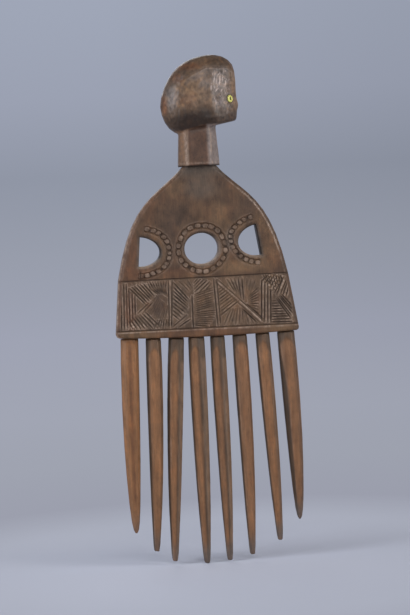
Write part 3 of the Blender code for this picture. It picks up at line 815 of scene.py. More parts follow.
# %% Paint the plate
# Middle of each stain from the plate's middle and up from the rim, its radii, its colour and strength
PLATE_STAINS = (
    (-27.0, 30.0, 4.5, 12.0, PLATE_RED, 0.60),
    (-27.0, 30.0, 5.0, 14.0, PLATE_DARK, 0.18),
    (-19.0, 46.0, 3.0, 8.0, PLATE_RED, 0.35),
    (-24.0, 22.5, 7.0, 2.6, PLATE_RED, 0.60),
    (-10.0, 22.3, 9.0, 2.2, PLATE_RED, 0.45),
    (25.0, 29.0, 3.2, 9.0, PLATE_RED, 0.45),
    (24.5, 32.0, 3.0, 9.0, PLATE_TAN, 0.35),
    (6.0, 42.0, 4.0, 5.0, PLATE_TAN, 0.45),
    (13.0, 23.5, 12.0, 2.8, PLATE_TAN, 0.60),
    (-6.5, 37.0, 3.0, 3.0, PLATE_TAN, 0.35),
    (-10.0, 41.0, 7.0, 6.5, PLATE_DARK, 0.45),
    (14.5, 43.0, 6.0, 5.5, PLATE_DARK, 0.35),
    (-11.5, 33.0, 2.5, 5.0, PLATE_DARK, 0.40),
    (9.2, 33.0, 1.8, 5.0, PLATE_GREY, 0.60),
    (0.0, 52.0, 7.0, 5.0, PLATE_GREY, 0.65),
    (-15.5, 16.8, 3.0, 3.2, PLATE_DARK, 0.30),
    (-17.2, 11.0, 3.8, 5.2, PLATE_DARK, 0.72),
    (-27.2, 9.5, 2.6, 8.0, PLATE_RED, 0.80),
    (-20.8, 11.5, 1.0, 1.6, PLATE_RED, 0.40),
    (-9.0, 10.0, 4.0, 8.0, PLATE_GREY, 0.30),
    (25.8, 6.8, 4.5, 5.5, PLATE_DARK, 0.45),
    (24.4, 17.4, 4.2, 3.2, PLATE_TAN, 0.55),
    (7.8, 11.5, 4.2, 8.0, PLATE_TAN, 0.50),
    (15.5, 11.5, 3.0, 7.0, PLATE_TAN, 0.25),
    (13.5, 9.5, 6.0, 6.0, PLATE_RED, 0.12),
    (18.5, 12.0, 2.0, 2.2, PLATE_RED, 0.40),
)

# Where short crossing nicks leave pale specks: the middle of each place, its radii, and how pale they are
SPECKLES = (
    (24.4, 17.6, 4.2, 3.2, 1.10),
    (-25.5, 3.9, 5.0, 1.5, 0.60),
    (-18.0, 4.6, 2.2, 1.8, 0.60),
    (-21.5, 19.0, 6.0, 1.2, 0.45),
)


def plate_colours_and_light(x, up, normals, flat, field, front, left):
    """The plate's colour at every vertex, with painted light and shade on the walls of its piercings."""
    clouds, smudges = blotch(flat, (6.0, 6.0, 8.0), 4), blotch(flat, (2.2, 2.2, 2.8), 5)
    border = 0.5 * front * fade(up, border_top(x) - 0.5, border_top(x))
    ends = smooth_step(np.abs(x), 6.0, 26.0)
    strip = fade(field["edge"], 0.8, 1.3)
    wall = fade(field["hole"], 0.25, 0.75)
    half_round = np.abs(x - RINGS[0][0][0]) > 9.0
    facing_left = wall * smooth_step(-normals[:, 0], 0.30, 0.80)
    colours = paint(
        np.tile(PLATE_BROWN, (len(x), 1)),
        (PLATE_TAN, 0.35 * smooth_step(clouds, 0.05, 0.5)),
        (PLATE_DARK, 0.30 * smooth_step(-clouds, 0.0, 0.5)),
        (BAND_BROWN, 0.65 * field["band"] * front),
        *stains(x, up, PLATE_STAINS),
        (PLATE_TAN, border * ends),
        (PLATE_RED, border * (1 - ends)),
        (PLATE_RED, 0.55 * strip * left),
        (PLATE_DARK, 0.5 * strip * (1 - left)),
        (PLATE_GREY, 0.6 * fade(field["hole"], 0.4, 1.1)),
        # Greyer towards the top, under the neck
        (TOP_GREY, 0.42 * smooth_step(up, PLATE_TOP - 5.5, PLATE_TOP - 1.0)),
        # Painted light and shade on the piercings' walls: pale where a wall faces up, dark where it faces
        # down, dark where it faces left in the half-round piercings, and pale there in the round one
        (RUBBED_AND_LIT, 0.55 * wall * smooth_step(normals[:, 2], 0.15, 0.70)),
        (DIRT_AND_SHADE, 0.80 * wall * smooth_step(-normals[:, 2], 0.15, 0.70)),
        (DIRT_AND_SHADE, 0.90 * facing_left * half_round),
        (RUBBED_AND_LIT, 0.30 * facing_left * ~half_round),
    )
    return colours * (1 + 0.30 * smudges)[:, None]


def plate_shares(x, up, flat, field, front, left):
    """How much dirt lies at every vertex, and how far it is rubbed pale or given a painted highlight."""
    edge = field["edge"]
    broken = smooth_step(blotch(flat, (1.6, 1.6, 2.4), 6), -0.35, 0.25)
    half_broken = 0.5 + 0.5 * broken
    dirt_and_shade = 0.85 * field["dirt"] * (0.60 + 0.40 * broken) * front
    dirt_and_shade = np.maximum(dirt_and_shade, 0.4 * hump(up, BAND_TOP, 0.6) * front)
    # The outer wall is rubbed pale and made paler on the left as painted light; the right arris gets a
    # painted highlight between 28 and 50 mm up, and every arris a little rubbing
    outer_rub_and_light = (0.38 + 0.62 * front) * hump(edge, 0.05, 0.45) * (0.25 + 0.75 * left)
    arris_rub_and_highlight = 0.80 * hump(edge, 1.12, 0.36) * (1 - left) * between(up, 28.0, 50.0, 5.0)
    arris_rub_and_highlight += 0.18 * hump(edge, 1.12, 0.34)
    wear_and_sheen = (outer_rub_and_light + arris_rub_and_highlight) * (0.4 + 0.6 * broken)
    # A painted highlight along the upper edge of the rim's raised border
    wear_and_sheen += 0.75 * hump(up - border_top(x), -0.55, 0.36) * front * (0.4 + 0.6 * broken)
    wear_and_sheen += 0.54 * smooth_step(field["pearls"], 0.35, 0.9) * front * half_broken
    wear_and_sheen += 0.14 * field["lips"] * front
    wear_and_sheen += 0.62 * field["ridges"] * (0.3 + 0.7 * broken) * front
    wear_and_sheen += 0.55 * field["pale"] * half_broken * front
    dots = smooth_step(blotch(flat, (0.60, 0.60, 0.60), 8), 0.0, 0.28)
    for *place, pale in SPECKLES:
        wear_and_sheen += pale * dots * spot(x, up, *place) * field["band"] * front
    wear_and_sheen *= (1 - 0.6 * dirt_and_shade) * fade(up, PLATE_TOP - 3.0, PLATE_TOP - 0.2)
    return {"dirt_and_shade": dirt_and_shade, "wear_and_sheen": wear_and_sheen}


def paint_plate(form):
    normals = normals_of(form)
    x, y, z = points_of(form).T
    up = z - RIM_Z
    flat, field = np.column_stack([x, y, up]), plate_field(x, up)
    front, left = smooth_step(-y, 2.0, 3.4), smooth_step(-x, -2.0, 2.0)
    colours = plate_colours_and_light(x, up, normals, flat, field, front, left)
    shares = plate_shares(x, up, flat, field, front, left)
    finish_piece("carved_plate", form, PLATE_WOOD, "patinated_wood", "comb_plate", colours, **shares)


paint_plate(plate_form)

# %% [markdown]
# ## The teeth
#
# Each tooth is a bar whittled to eight uneven facets. A knife leaves long shallow hollows and soft
# arrises, so the copy is remeshed to an even skin, smoothed a little and pared along its length. Just
# under the rim the front is left full, and the pared facet starts below it with a rounded top.

# %% Whittle the teeth
TOOTH_VOXEL = 0.36 * MM
PARE = 0.11
TOOTH_FIBRE = 0.03
FACET_SINK = 0.26
ARCH_DROP = 2.2
TIP_STRETCH = 6.0
SHOULDER_LIFT = 0.2

TOOTH_ORANGE = linear("#835a38")
TOOTH_BROWN = linear("#6e4f38")
TOOTH_GREY = linear("#6b5543")
TOOTH_DARK = linear("#33261a")
TOOTH_ROOT = linear("#4c3e31")
TOOTH_TIP = linear("#564e49")

# For each tooth, left to right: the left and right ridges of its front facet as shares of its half
# width, how orange the facet is, how grey the painted sheen on its right flank is, how dark the streak
# on its right ridge is, how far below the rim the pared facet starts, how dark the painted shade at its
# root under the rim is, and how dark its tip is
TEETH = (
    (-1.10, 0.86, 0.90, 0.2, 0.0, 1.0, 0.00, 0.35),
    (-0.66, 0.66, 0.60, 0.5, 0.2, 4.2, 0.70, 0.60),
    (-0.66, 0.34, 0.60, 0.9, 0.7, 5.0, 0.80, 0.55),
    (-0.78, 0.22, 0.55, 0.9, 0.8, 4.0, 0.75, 0.80),
    (-0.78, 0.18, 0.35, 0.9, 0.8, 4.4, 0.80, 0.80),
    (-0.72, 0.80, 0.35, 0.5, 0.2, 3.4, 0.80, 0.75),
    (-0.74, 0.50, 0.60, 0.6, 0.2, 3.6, 0.75, 0.80),
    (-0.44, 0.70, 0.40, 0.4, 0.4, 3.0, 0.75, 0.75),
)


def across_tooth(points):
    """How far across each point lies, from -1 at the tooth's left side to 1 at its right."""
    x, y, z = points.T
    levels = np.linspace(z.min(), RIM_Z - 1.0, 40)
    rows = []
    for low, high in zip(levels, levels[1:]):
        slab = (z >= low) & (z < high)
        rows.append(((low + high) / 2, x[slab].min(), x[slab].max()))
    level, left, right = np.array(rows).T
    middle = np.interp(z, level, (left + right) / 2)
    return (x - middle) / np.maximum(np.interp(z, level, (right - left) / 2), 0.4)


def whittle(number):
    left, right, orange, grey, streak, start, root, tip = TEETH[number]
    node = f"tooth_{number + 1}"
    form = even_skin(node, TOOTH_VOXEL, 2)
    points, normals = points_of(form), normals_of(form)

    # The skin shortens the tip and sinks the shoulders a little, so both are moved back first
    tip_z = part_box(node)[0].z / MM
    lost = points[:, 2].min() - tip_z
    points[:, 2] -= lost * np.clip(1 - (points[:, 2] - tip_z) / TIP_STRETCH, 0, 1)
    top = (normals[:, 2] > 0.35) & (np.abs(points[:, 2] - RIM_Z) < 1.6)
    points[top, 2] = np.median(points[top, 2]) + SHOULDER_LIFT
    side, down, front = across_tooth(points), RIM_Z - points[:, 2], -normals[:, 1]
    from_tip = points[:, 2] - tip_z
    share_down = down / (RIM_Z - tip_z)
    # The last tooth's front facet reaches further left near the rim, so the painted shade on its left flank
    # is narrower there
    if number == len(TEETH) - 1:
        left = left - 0.40 * fade(down, 2.0, 24.0)

    from_ridge = np.clip((side - (left + right) / 2) / (right - left) * 2, -1.4, 1.4)
    arch = start + ARCH_DROP * from_ridge**2
    pared = smooth_step(down, arch - 0.5, arch + 0.7) * (1 - 0.7 * share_down)
    hollows = PARE * ripple(points, (2.4, 2.4, 15.0), 10 + number)
    fibre = TOOTH_FIBRE * ripple(points, (0.6, 0.6, 7.0), 30 + number)
    depth = (hollows + fibre) * (1 - 0.8 * np.abs(normals[:, 0]))
    depth += FACET_SINK * smooth_step(front, 0.70, 0.92) * pared
    depth[down < 0.6] = 0
    move_to(form, points - normals * depth[:, None])

    streaky = blotch(points, (0.9, 0.9, 9.0), 50 + number)
    patchy = blotch(points, (2.2, 2.2, 6.0), 70 + number)
    facing = smooth_step(front, 0.05, 0.40)
    dark_streak = streak * hump(side, right - 0.04, 0.40) * smooth_step(streaky, -0.70, 0.05) * facing
    # Painted shade just under the rim, which overhangs the top of the tooth
    above = fade(down, arch - 0.8, arch + 1.2) * smooth_step(down, -1.0, 0.5)
    in_facet = between(side, left, right, 0.10) * facing * (1 - 0.35 * smooth_step(share_down, 0.6, 1.0))
    layers = [
        (TOOTH_ORANGE, orange * in_facet),
        # Painted sheen: the right flank is greyed, as where it faces the right lamp
        (TOOTH_GREY, grey * smooth_step(side, right - 0.1, right + 0.12)),
        # Painted shade on the left flank, where the tooth to its left shades it
        (TOOTH_DARK, 0.85 * fade(side, left - 0.16, left + 0.02)),
        (TOOTH_DARK, 0.95 * dark_streak),
        (TOOTH_ROOT, root * above),
        (TOOTH_TIP, tip * fade(from_tip, 2.0, 9.5)),
    ]
    if number == 0:
        stripe = hump(side, 0.02, 0.42) * between(down, 2.0, 60.0, 8.0) * facing
        # The first tooth gets a red stripe, and a painted sheen in grey on its right edge
        layers += [(PLATE_RED, 0.78 * stripe), (TOOTH_GREY, 0.6 * smooth_step(side, 0.80, 0.95))]
    colours = paint(np.tile(TOOTH_BROWN, (len(points), 1)), *layers)
    colours = colours * (1 + 0.20 * streaky + 0.24 * patchy)[:, None]
    # A pale rubbed line along the left ridge of the front, and a painted sheen along the right edge
    wear_and_sheen = 0.30 * hump(side, left + 0.04, 0.12) * facing * smooth_step(streaky, -0.2, 0.4)
    wear_and_sheen += 0.22 * smooth_step(side, 0.86, 0.99) * smooth_step(patchy, -0.2, 0.4)
    # Painted shade darkens the tooth just under the rim, and no rubbing or sheen lies on its shaded root
    shares = {"dirt_and_shade": 0.30 * fade(down, 0.4, 1.4), "wear_and_sheen": wear_and_sheen * (1 - above)}
    finish_piece(f"whittled_tooth_{number + 1}", form, TOOTH_WOOD, "worn_wood", node, colours, **shares)


for tooth in range(len(TEETH)):
    whittle(tooth)

# %% [markdown]
# ## The head and neck
#
# Head and neck are one carved form, polished by hands. A crown stands a little proud of the sides and
# ends at a crisp edge, and a soft upright arris parts the back of the head from the flat of the face.
# The face is a plain one, with a small bump for a nose. The neck is pared to broad upright facets, and
# meets the head's underside on a slope. Every cut goes inwards, so the carved head stays in its solid.

# %% Carve the head
HEAD_VOXEL = 0.33 * MM
CROWN_STEP = 0.50
CROWN_FADE = 6.5
FACE_STEP = 0.42
KNIFE_MARKS = 0.22
FINE_MARKS = 0.20
SCRATCH_DEPTH = 0.10
NECK_PARING = 0.14
NECK_TOP = 71.9
NECK_RISE = 1.8
NECK_NOTCH = 0.22
NECK_FOOT = 59.6
FOOT_SPREAD = 0.06
FOOT_DROP = 0.1

# Half width, half thickness and top of the room round the neck's mortise, which isn't carved
MORTISE = (3.6, 3.2, 68.0)

# The crown's edge, from the brow to the back of the head, and the arris beside the face: x and height
CROWN_EDGE = (
    (15.5, 87.5), (14.0, 91.8), (11.3, 93.6), (3.9, 94.0), (-0.9, 91.8), (-7.2, 88.0), (-12.8, 82.5),
)
FACE_ARRIS = ((6.6, 94.0), (5.4, 88.4), (4.8, 84.0), (5.6, 78.0))

# The bold scratches over the eye, from x and height to x and height, with their width and depth
FACE_SCRATCHES = (
    (6.2, 87.9, 6.9, 90.6), (7.4, 88.0, 7.7, 90.2), (8.3, 87.2, 8.9, 90.9), (9.4, 88.2, 9.7, 90.3),
    (10.4, 87.0, 10.9, 89.4), (6.7, 85.0, 8.2, 86.6), (8.6, 84.8, 9.3, 86.2), (5.2, 85.2, 5.3, 88.0),
)
BOLD_SCRATCH = (0.56, 0.9)
FINE_SCRATCHES = 90
FINE_WIDTH = 0.42

HEAD_BROWN = linear("#614c3a")
HEAD_TAN = linear("#83674c")
HEAD_DARK = linear("#554334")
HEAD_BLACK = linear("#2a1e16")
HEAD_RED = linear("#6b432b")
HEAD_GREY = linear("#6b625d")
# Pale tone of scratches, also used for painted sheen
SCRATCH_AND_SHEEN = linear("#b3a39c")
NECK_BROWN = linear("#482e1c")


def above_line(x, up, line):
    """How far a point lies above a line drawn from right to left, in millimetres."""
    xs, ups = np.array(line[::-1]).T
    return up - np.interp(x, xs, ups)


def beside_line(x, up, line):
    """How far a point lies in front of a line drawn from top to bottom."""
    xs, ups = np.array(line[::-1]).T
    return x - np.interp(up, ups, xs)


def scratch_rows():
    """The bold scratches beside the eye, and many short fine ones over the face, all near upright."""
    draw = random.Random(23)
    rows = [(*scratch, *BOLD_SCRATCH) for scratch in FACE_SCRATCHES]
    for _ in range(FINE_SCRATCHES):
        x, up = draw.uniform(5.4, 13.0), draw.uniform(79.5, 92.0)
        lean, length = draw.gauss(0.25, 0.45), draw.uniform(0.7, 2.0)
        end_x, end_up = x + length * math.sin(lean), up + length * math.cos(lean)
        rows.append((x, up, end_x, end_up, FINE_WIDTH, draw.uniform(0.2, 0.7)))
    return rows


def carve_head():
    """The carved head and neck as a bmesh, and the marks that its paint goes by."""
    form = even_skin("head_finial", HEAD_VOXEL, 3)
    points, normals = points_of(form), normals_of(form)
    x, y, z = points.T
    up = z - RIM_Z
    bead_low, bead_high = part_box("eye_bead_front")
    bead = (bead_low + bead_high) / 2 / MM
    from_bead = np.sqrt((x - bead.x) ** 2 + (np.abs(y) + bead.y) ** 2 + (z - bead.z) ** 2)
    in_mortise = (np.abs(x) < MORTISE[0]) & (np.abs(y) < MORTISE[1]) & (up < MORTISE[2])
    neck_top = NECK_TOP + np.interp(x, (-5.0, 2.0), (0.0, NECK_RISE))
    on_head = smooth_step(up, neck_top - 0.5, neck_top + 0.5)
    lateral = smooth_step(np.abs(normals[:, 1]), 0.30, 0.70)
    keep_outline = 0.25 + 0.75 * lateral

    over = above_line(x, up, CROWN_EDGE)
    crown = smooth_step(over, -0.35, 0.35)
    step_down = CROWN_STEP * (1 - crown) * smooth_step(over, -CROWN_FADE, -0.6) * smooth_step(x, -9.0, -1.0)
    ahead = beside_line(x, up, FACE_ARRIS)
    flats = FACE_STEP * hump(ahead, 2.0, 2.2) + 0.5 * FACE_STEP * hump(ahead, -2.2, 2.4)
    flats = flats * (1 - crown) * smooth_step(up, 76.0, 79.0)
    scratches = cut_strokes(x, up, scratch_rows())[0] * smooth_step(-y, 3.0, 5.0)
    knife = KNIFE_MARKS * ripple(points, (3.2, 3.2, 3.8), 50)
    knife += FINE_MARKS * ripple(points, (0.9, 0.9, 1.2), 51)
    depth = on_head * (lateral * (step_down + flats + SCRATCH_DEPTH * scratches) + keep_outline * knife)
    pared = NECK_PARING * ripple(points, (2.6, 2.6, 9.0), 52) * smooth_step(up, NECK_FOOT, NECK_FOOT + 1.2)
    depth += (1 - on_head) * (pared * keep_outline + lateral * NECK_NOTCH * hump(up, neck_top - 0.5, 1.6))
    depth *= smooth_step(from_bead, 1.5, 2.2)
    depth[in_mortise] = 0
    points = points - normals * depth[:, None]

    # The skin rounds the neck's foot off, so it is spread to a crisp edge again and comes down to the plate
    foot = np.where(in_mortise, 0, np.clip((NECK_FOOT + 0.8 - up) / 0.7, 0, 1))
    points[:, :2] *= (1 + FOOT_SPREAD * foot)[:, None]
    sole = (normals[:, 2] < -0.35) & (up < NECK_FOOT + 0.5) & ~in_mortise
    points[sole, 2] = RIM_Z + NECK_FOOT - FOOT_DROP
    move_to(form, points)
    below_head = hump(up, neck_top - 0.6, 1.5) * (1 - on_head)
    return form, (crown, ahead, on_head, below_head, scratches, from_bead)


head_form, head_marks = carve_head()
print("vertices of the head:", len(head_form.verts))

# %% [markdown]
# ## Ageing the head
#
# The crown is darkest and keeps orange rubs at its back, with a band of painted light under its edge
# towards the face. The side is mottled brown, with a painted sheen at the back, and nearly black
# underneath: painted shade there, over dark staining where soot and oil were never wiped away. The face is
# greyer, with pale scratches, and an orange rim follows its profile. The neck is dark brown, its flanks made
# paler with painted light, and painted shade darkens it just under the head and at its foot.

# %% Paint the head
# Middle of each stain, in x and in height above the rim, its radii, its colour and strength
HEAD_STAINS = (
    (-1.0, 85.5, 5.0, 4.5, HEAD_TAN, 0.26),
    (-3.0, 82.5, 3.0, 3.0, HEAD_RED, 0.22),
    # A painted sheen at the back of the head, in grey and a pale tone
    (-8.6, 84.5, 2.4, 4.4, HEAD_GREY, 0.60),
    (-8.8, 83.0, 2.2, 4.6, SCRATCH_AND_SHEEN, 0.14),
    (-11.4, 81.0, 1.5, 4.0, HEAD_RED, 0.65),
    (3.2, 88.6, 3.2, 3.0, HEAD_GREY, 0.45),
    (-9.5, 89.5, 3.0, 2.4, HEAD_DARK, 0.60),
    (-3.0, 94.5, 5.0, 1.8, HEAD_RED, 0.55),
    (-6.5, 90.5, 2.5, 2.0, HEAD_RED, 0.45),
    (9.0, 95.5, 5.0, 1.9, HEAD_BLACK, 0.25),
    (9.6, 84.0, 1.4, 2.4, HEAD_DARK, 0.45),
    (7.6, 88.4, 2.8, 3.8, SCRATCH_AND_SHEEN, 0.22),
    (7.7, 80.6, 2.4, 2.6, SCRATCH_AND_SHEEN, 0.16),
)


def paint_head(form, marks):
    """The head's colours with painted light and shade, and its shares of dirt and shade and of rubbing and
    sheen.
    """
    points = points_of(form)
    x, y, z = points.T
    up = z - RIM_Z
    crown, ahead, head, below_head, scratches, from_bead = marks
    over = above_line(x, up, CROWN_EDGE)
    cloud, mottle = blotch(points, (3.4, 3.4, 3.8), 61), blotch(points, (1.1, 1.1, 1.3), 60)
    grit = blotch(points, (0.7, 0.7, 0.9), 62)
    neck, under_crown = 1 - head, 1 - crown
    face = smooth_step(ahead, -0.3, 1.2) * under_crown
    below_crown = between(over, -2.8, -0.3, 0.4) * smooth_step(x, -5.0, 0.0) * under_crown * head
    brow_lean = 0.05 * (up - 85)
    profile = smooth_step(x, 11.4 - brow_lean, 13.2 - brow_lean) * between(up, 77.5, 92.5, 1.5)
    underside = smooth_step(-up + 2.0 * cloud + 1.6 * mottle, -81.0, -76.6) * between(x, -8.0, 6.0, 3.5)
    left_flank, right_flank = neck * smooth_step(-x, 3.2, 4.4), neck * smooth_step(x, 2.4, 3.8)
    colours = paint(
        np.tile(HEAD_BROWN, (len(x), 1)),
        (HEAD_DARK, 0.85 * crown * head),
        (HEAD_GREY, 0.72 * face),
        # Painted light: the band just under the crown's edge is lighter, as the step's lower side faces the
        # light
        (HEAD_GREY, 0.55 * below_crown),
        *stains(x, up, HEAD_STAINS),
        (HEAD_TAN, 0.60 * profile * head),
        # Painted shade over darker colour at the jaw, towards the bottom
        (HEAD_DARK, 0.60 * head * smooth_step(-up, -81.0, -78.0) * smooth_step(x, 4.0, 7.0)),
        (HEAD_TAN, 0.36 * head * (1 - 0.8 * crown) * smooth_step(mottle, 0.10, 0.45)),
        (HEAD_BLACK, 0.24 * head * smooth_step(-mottle, 0.15, 0.50)),
        (HEAD_BLACK, 0.45 * face * smooth_step(-grit, 0.10, 0.45)),
        # Painted shade over dark staining: the underside and the lowest part of the head go nearly black
        (HEAD_BLACK, 0.95 * head * underside),
        (HEAD_BLACK, 0.60 * head * smooth_step(-up, -79.5, -75.5)),
        (NECK_BROWN, neck),
        # Painted light on the neck's two flanks, which face the side lamps, over the neck's dark brown;
        # painted shade on its left edge and just under the head
        (HEAD_TAN, 0.60 * left_flank),
        (HEAD_RED, 0.20 * left_flank),
        (HEAD_BLACK, 0.25 * neck * smooth_step(-x, 5.4, 6.2)),
        (HEAD_BLACK, 0.55 * below_head * between(x, -3.4, 2.8, 0.8)),
        (HEAD_GREY, 0.85 * right_flank),
        (SCRATCH_AND_SHEEN, 0.16 * right_flank),
    )
    colours = colours * (1 + 0.22 * cloud + 0.20 * mottle)[:, None]
    colours = paint(colours, (SCRATCH_AND_SHEEN, 0.80 * smooth_step(scratches, 0.05, 0.50)))
    # Painted shade at the neck's foot, where it meets the plate under its overhang, and a dark ring round
    # each bead
    seam = fade(up, NECK_FOOT - 0.1, NECK_FOOT + 0.6)
    dirt_and_shade = np.clip(0.75 * hump(from_bead, 1.35, 0.60) + 0.85 * seam, 0, 1)
    foot = 0.25 * hump(up, NECK_FOOT + 0.9, 0.6)
    # A painted highlight just under the crown's edge, and painted sheen on the neck's flanks
    edge = 0.35 * hump(over, -0.5, 0.5) * smooth_step(x, -2.0, 2.0) * head
    sheen = 0.70 * hump(x, -4.6, 0.9) + 0.65 * hump(x, 4.2, 0.8) * smooth_step(cloud, -0.5, 0.1)
    return colours, {"dirt_and_shade": dirt_and_shade, "wear_and_sheen": (foot + edge + sheen * neck * (y < 0)) * (1 - dirt_and_shade)}


patina_and_light, shares_of_head = paint_head(head_form, head_marks)
finish_piece("carved_head", head_form, HEAD_WOOD, "patinated_wood", "head_finial", patina_and_light, **shares_of_head)

# %% [markdown]
# ## The glass eyes
#
# Each eye is a drawn glass seed bead, opaque yellow, with a dark plug in its hole. A bead is a ring with a
# round wall, so it is one small circle spun round its axis. The axis is read from the solid it stands
# for: the direction in which a flat bead has the least spread, or a long plug the most.

# %% Spin the beads and their plugs
BEAD_STEPS = 40
WALL_STEPS = 16
BEAD_TALL = 1.22
HOLE_OVER_PLUG = 1.5
PLUG_TAPER = 0.8
PLUG_BEVEL = 0.35
GLASS_STREAK = 0.5 * MM


def round_solid(node, is_long):
    """A round solid's middle, its axis outwards from the face, half its length, and its radius."""
    form = copy_of(node)
    places = points_of(form) * MM
    form.free()
    middle = Vector((places.max(axis=0) + places.min(axis=0)) / 2)
    axis = Vector(np.linalg.svd(places - places.mean(axis=0))[2][0 if is_long else 2])
    axis = axis if axis.y * middle.y > 0 else -axis
    away = places - np.array(middle)
    along = away @ np.array(axis)
    out = np.linalg.norm(away - along[:, None] * np.array(axis), axis=1)
    return middle, axis, np.abs(along).max(), out.max()


def revolve(form, outline, steps):
    """Spins an outline once round Z and closes its seam."""
    whole = {"cent": (0, 0, 0), "axis": (0, 0, 1), "angle": 2 * math.pi, "steps": steps}
    bmesh.ops.spin(form, geom=outline, use_merge=True, **whole)
    bmesh.ops.remove_doubles(form, verts=form.verts, dist=WELD)
    bmesh.ops.recalc_face_normals(form, faces=form.faces)


def place_on_axis(form, middle, axis):
    turned = axis.to_track_quat("Z", "Y").to_matrix()
    bmesh.ops.rotate(form, matrix=turned, verts=form.verts)
    bmesh.ops.translate(form, vec=middle, verts=form.verts)


def bead_glass(name, pale, dark):
    """Opaque glass: coloured through, with drawn streaks, and a bright polish where it was tumbled."""
    values = {"IOR": 1.52, "Coat Weight": 0.4, "Coat Roughness": 0.08}
    material, tree, shader, place = start_finish(name, values)
    streaks = add(tree, "TexNoise", {"Vector": place, "Scale": 1 / GLASS_STREAK, "Detail": 3.0})
    share = add(tree, "MapRange", {"Value": streaks, "From Min": 0.35, "From Max": 0.7})
    mix = {0: share, 6: (*linear(pale), 1.0), 7: (*linear(dark), 1.0)}
    tree.links.new(add(tree, "Mix", mix, 2, data_type="RGBA"), shader.inputs["Base Color"])
    gloss = {"Value": streaks, "To Min": 0.10, "To Max": 0.30}
    tree.links.new(add(tree, "MapRange", gloss), shader.inputs["Roughness"])
    return material


YELLOW_GLASS = bead_glass("opaque yellow seed bead glass", "#dcd678", "#b9b452")
DARK_PLUG = bead_glass("blackened plug, set in resin", "#3d3a18", "#1c1a0e")


def fill_eye(word):
    """Spins the bead of one eye round its axis, and turns the plug that fills its hole."""
    plug_middle, plug_axis, plug_half, plug_radius = round_solid(f"eye_pin_{word}", is_long=True)
    middle, axis, half, outer = round_solid(f"eye_bead_{word}", is_long=False)
    inner = plug_radius * HOLE_OVER_PLUG
    form = bmesh.new()
    ring = bmesh.ops.create_circle(form, segments=WALL_STEPS, radius=1.0)["verts"]
    bmesh.ops.scale(form, vec=((outer - inner) / 2, half, 1.0), verts=ring)
    upright = Vector((0, 0, 1)).rotation_difference(Vector((0, -1, 0))).to_matrix()
    bmesh.ops.rotate(form, matrix=upright, verts=ring)
    bmesh.ops.translate(form, vec=((outer + inner) / 2, 0, 0), verts=ring)
    revolve(form, form.verts[:] + form.edges[:], BEAD_STEPS)
    # Once turned onto its axis, the bead's Y stands upright: it was wound a little taller than wide
    bmesh.ops.scale(form, vec=(1.0, BEAD_TALL, 1.0), verts=form.verts)
    place_on_axis(form, middle, axis)
    finish_piece(f"glass_bead_{word}", form, YELLOW_GLASS, "yellow_glass", f"eye_bead_{word}")

    form = bmesh.new()
    radii = {"radius1": plug_radius * PLUG_TAPER, "radius2": plug_radius}
    bmesh.ops.create_cone(form, cap_ends=True, segments=24, depth=2 * plug_half, **radii)
    rims = [edge for edge in form.edges if abs(edge.verts[0].co.z - edge.verts[1].co.z) < WELD]
    rounding = {"offset": plug_radius * PLUG_BEVEL, "segments": 3, "profile": 0.5}
    bmesh.ops.bevel(form, geom=rims, affect="EDGES", material=-1, **rounding)
    place_on_axis(form, plug_middle, plug_axis)
    finish_piece(f"dark_plug_{word}", form, DARK_PLUG, "blackened_wood", f"eye_pin_{word}")


for side_word in ("front", "back"):
    fill_eye(side_word)

# %% [markdown]
# ## Floor, backdrop and light
#
# The studio is a pale grey-blue bowl: a floor whose rim sweeps up to a wall all round, so that no edge
# shows from any side. A flat floor and a separate wall would leave a line behind the comb. Near the comb
# the paper is plain lit paper and takes its shadow. Further off, what the camera sees turns into a soft
# glow of the paper's own colour, so the backdrop stays pale without more light on the comb. Two tall
# soft boxes light it from the left and the right, which picks out the arrises, a weaker one in front
# keeps the carving readable, and a weak one behind does the same for the back.

# %% Build the studio
FLOOR_RADIUS = 1.1
SWEEP_RADIUS = 0.55
WALL_HEIGHT = 1.2
SWEEP_STEPS = 16
BOWL_STEPS = 96
PAPER = linear("#cbcedb")
PULP_SCALE = 12.0
GLOW_START = 0.01
GLOW_FULL = 0.14
AIR = linear("#c4c9d4")
AIR_STRENGTH = 0.35

# The backdrop's colour by how far out and up the bowl a place is, in metres: its reach along the floor
# plus its height
BACKDROP = (
    (0.10, "#a9adbb"),
    (0.16, "#9c9fad"),
    (0.30, "#9fa3b0"),
    (0.53, "#a1a5b3"),
    (1.20, "#9fa3b3"),
    (1.46, "#989dab"),
    (1.65, "#9096a5"),
    (1.81, "#9ba1b2"),
    (1.97, "#9fa6b7"),
    (2.30, "#a1a8b9"),
)

# Place and size in metres, power in watts, and colour: the right box is a little warm, the left one cool
SOFT_BOXES = {
    "right soft box": ((0.80, -0.50, 0.30), (0.35, 0.8), 6.0, (1.0, 0.98, 0.95)),
    "left soft box": ((-0.80, -0.35, 0.35), (0.35, 0.8), 5.5, (0.92, 0.96, 1.0)),
    "front soft box": ((0.10, -0.95, 0.50), (0.5, 0.5), 3.4, (1.0, 1.0, 1.0)),
    "rear soft box": ((-0.15, 1.00, 0.60), (0.6, 0.6), 2.4, (1.0, 1.0, 1.0)),
}


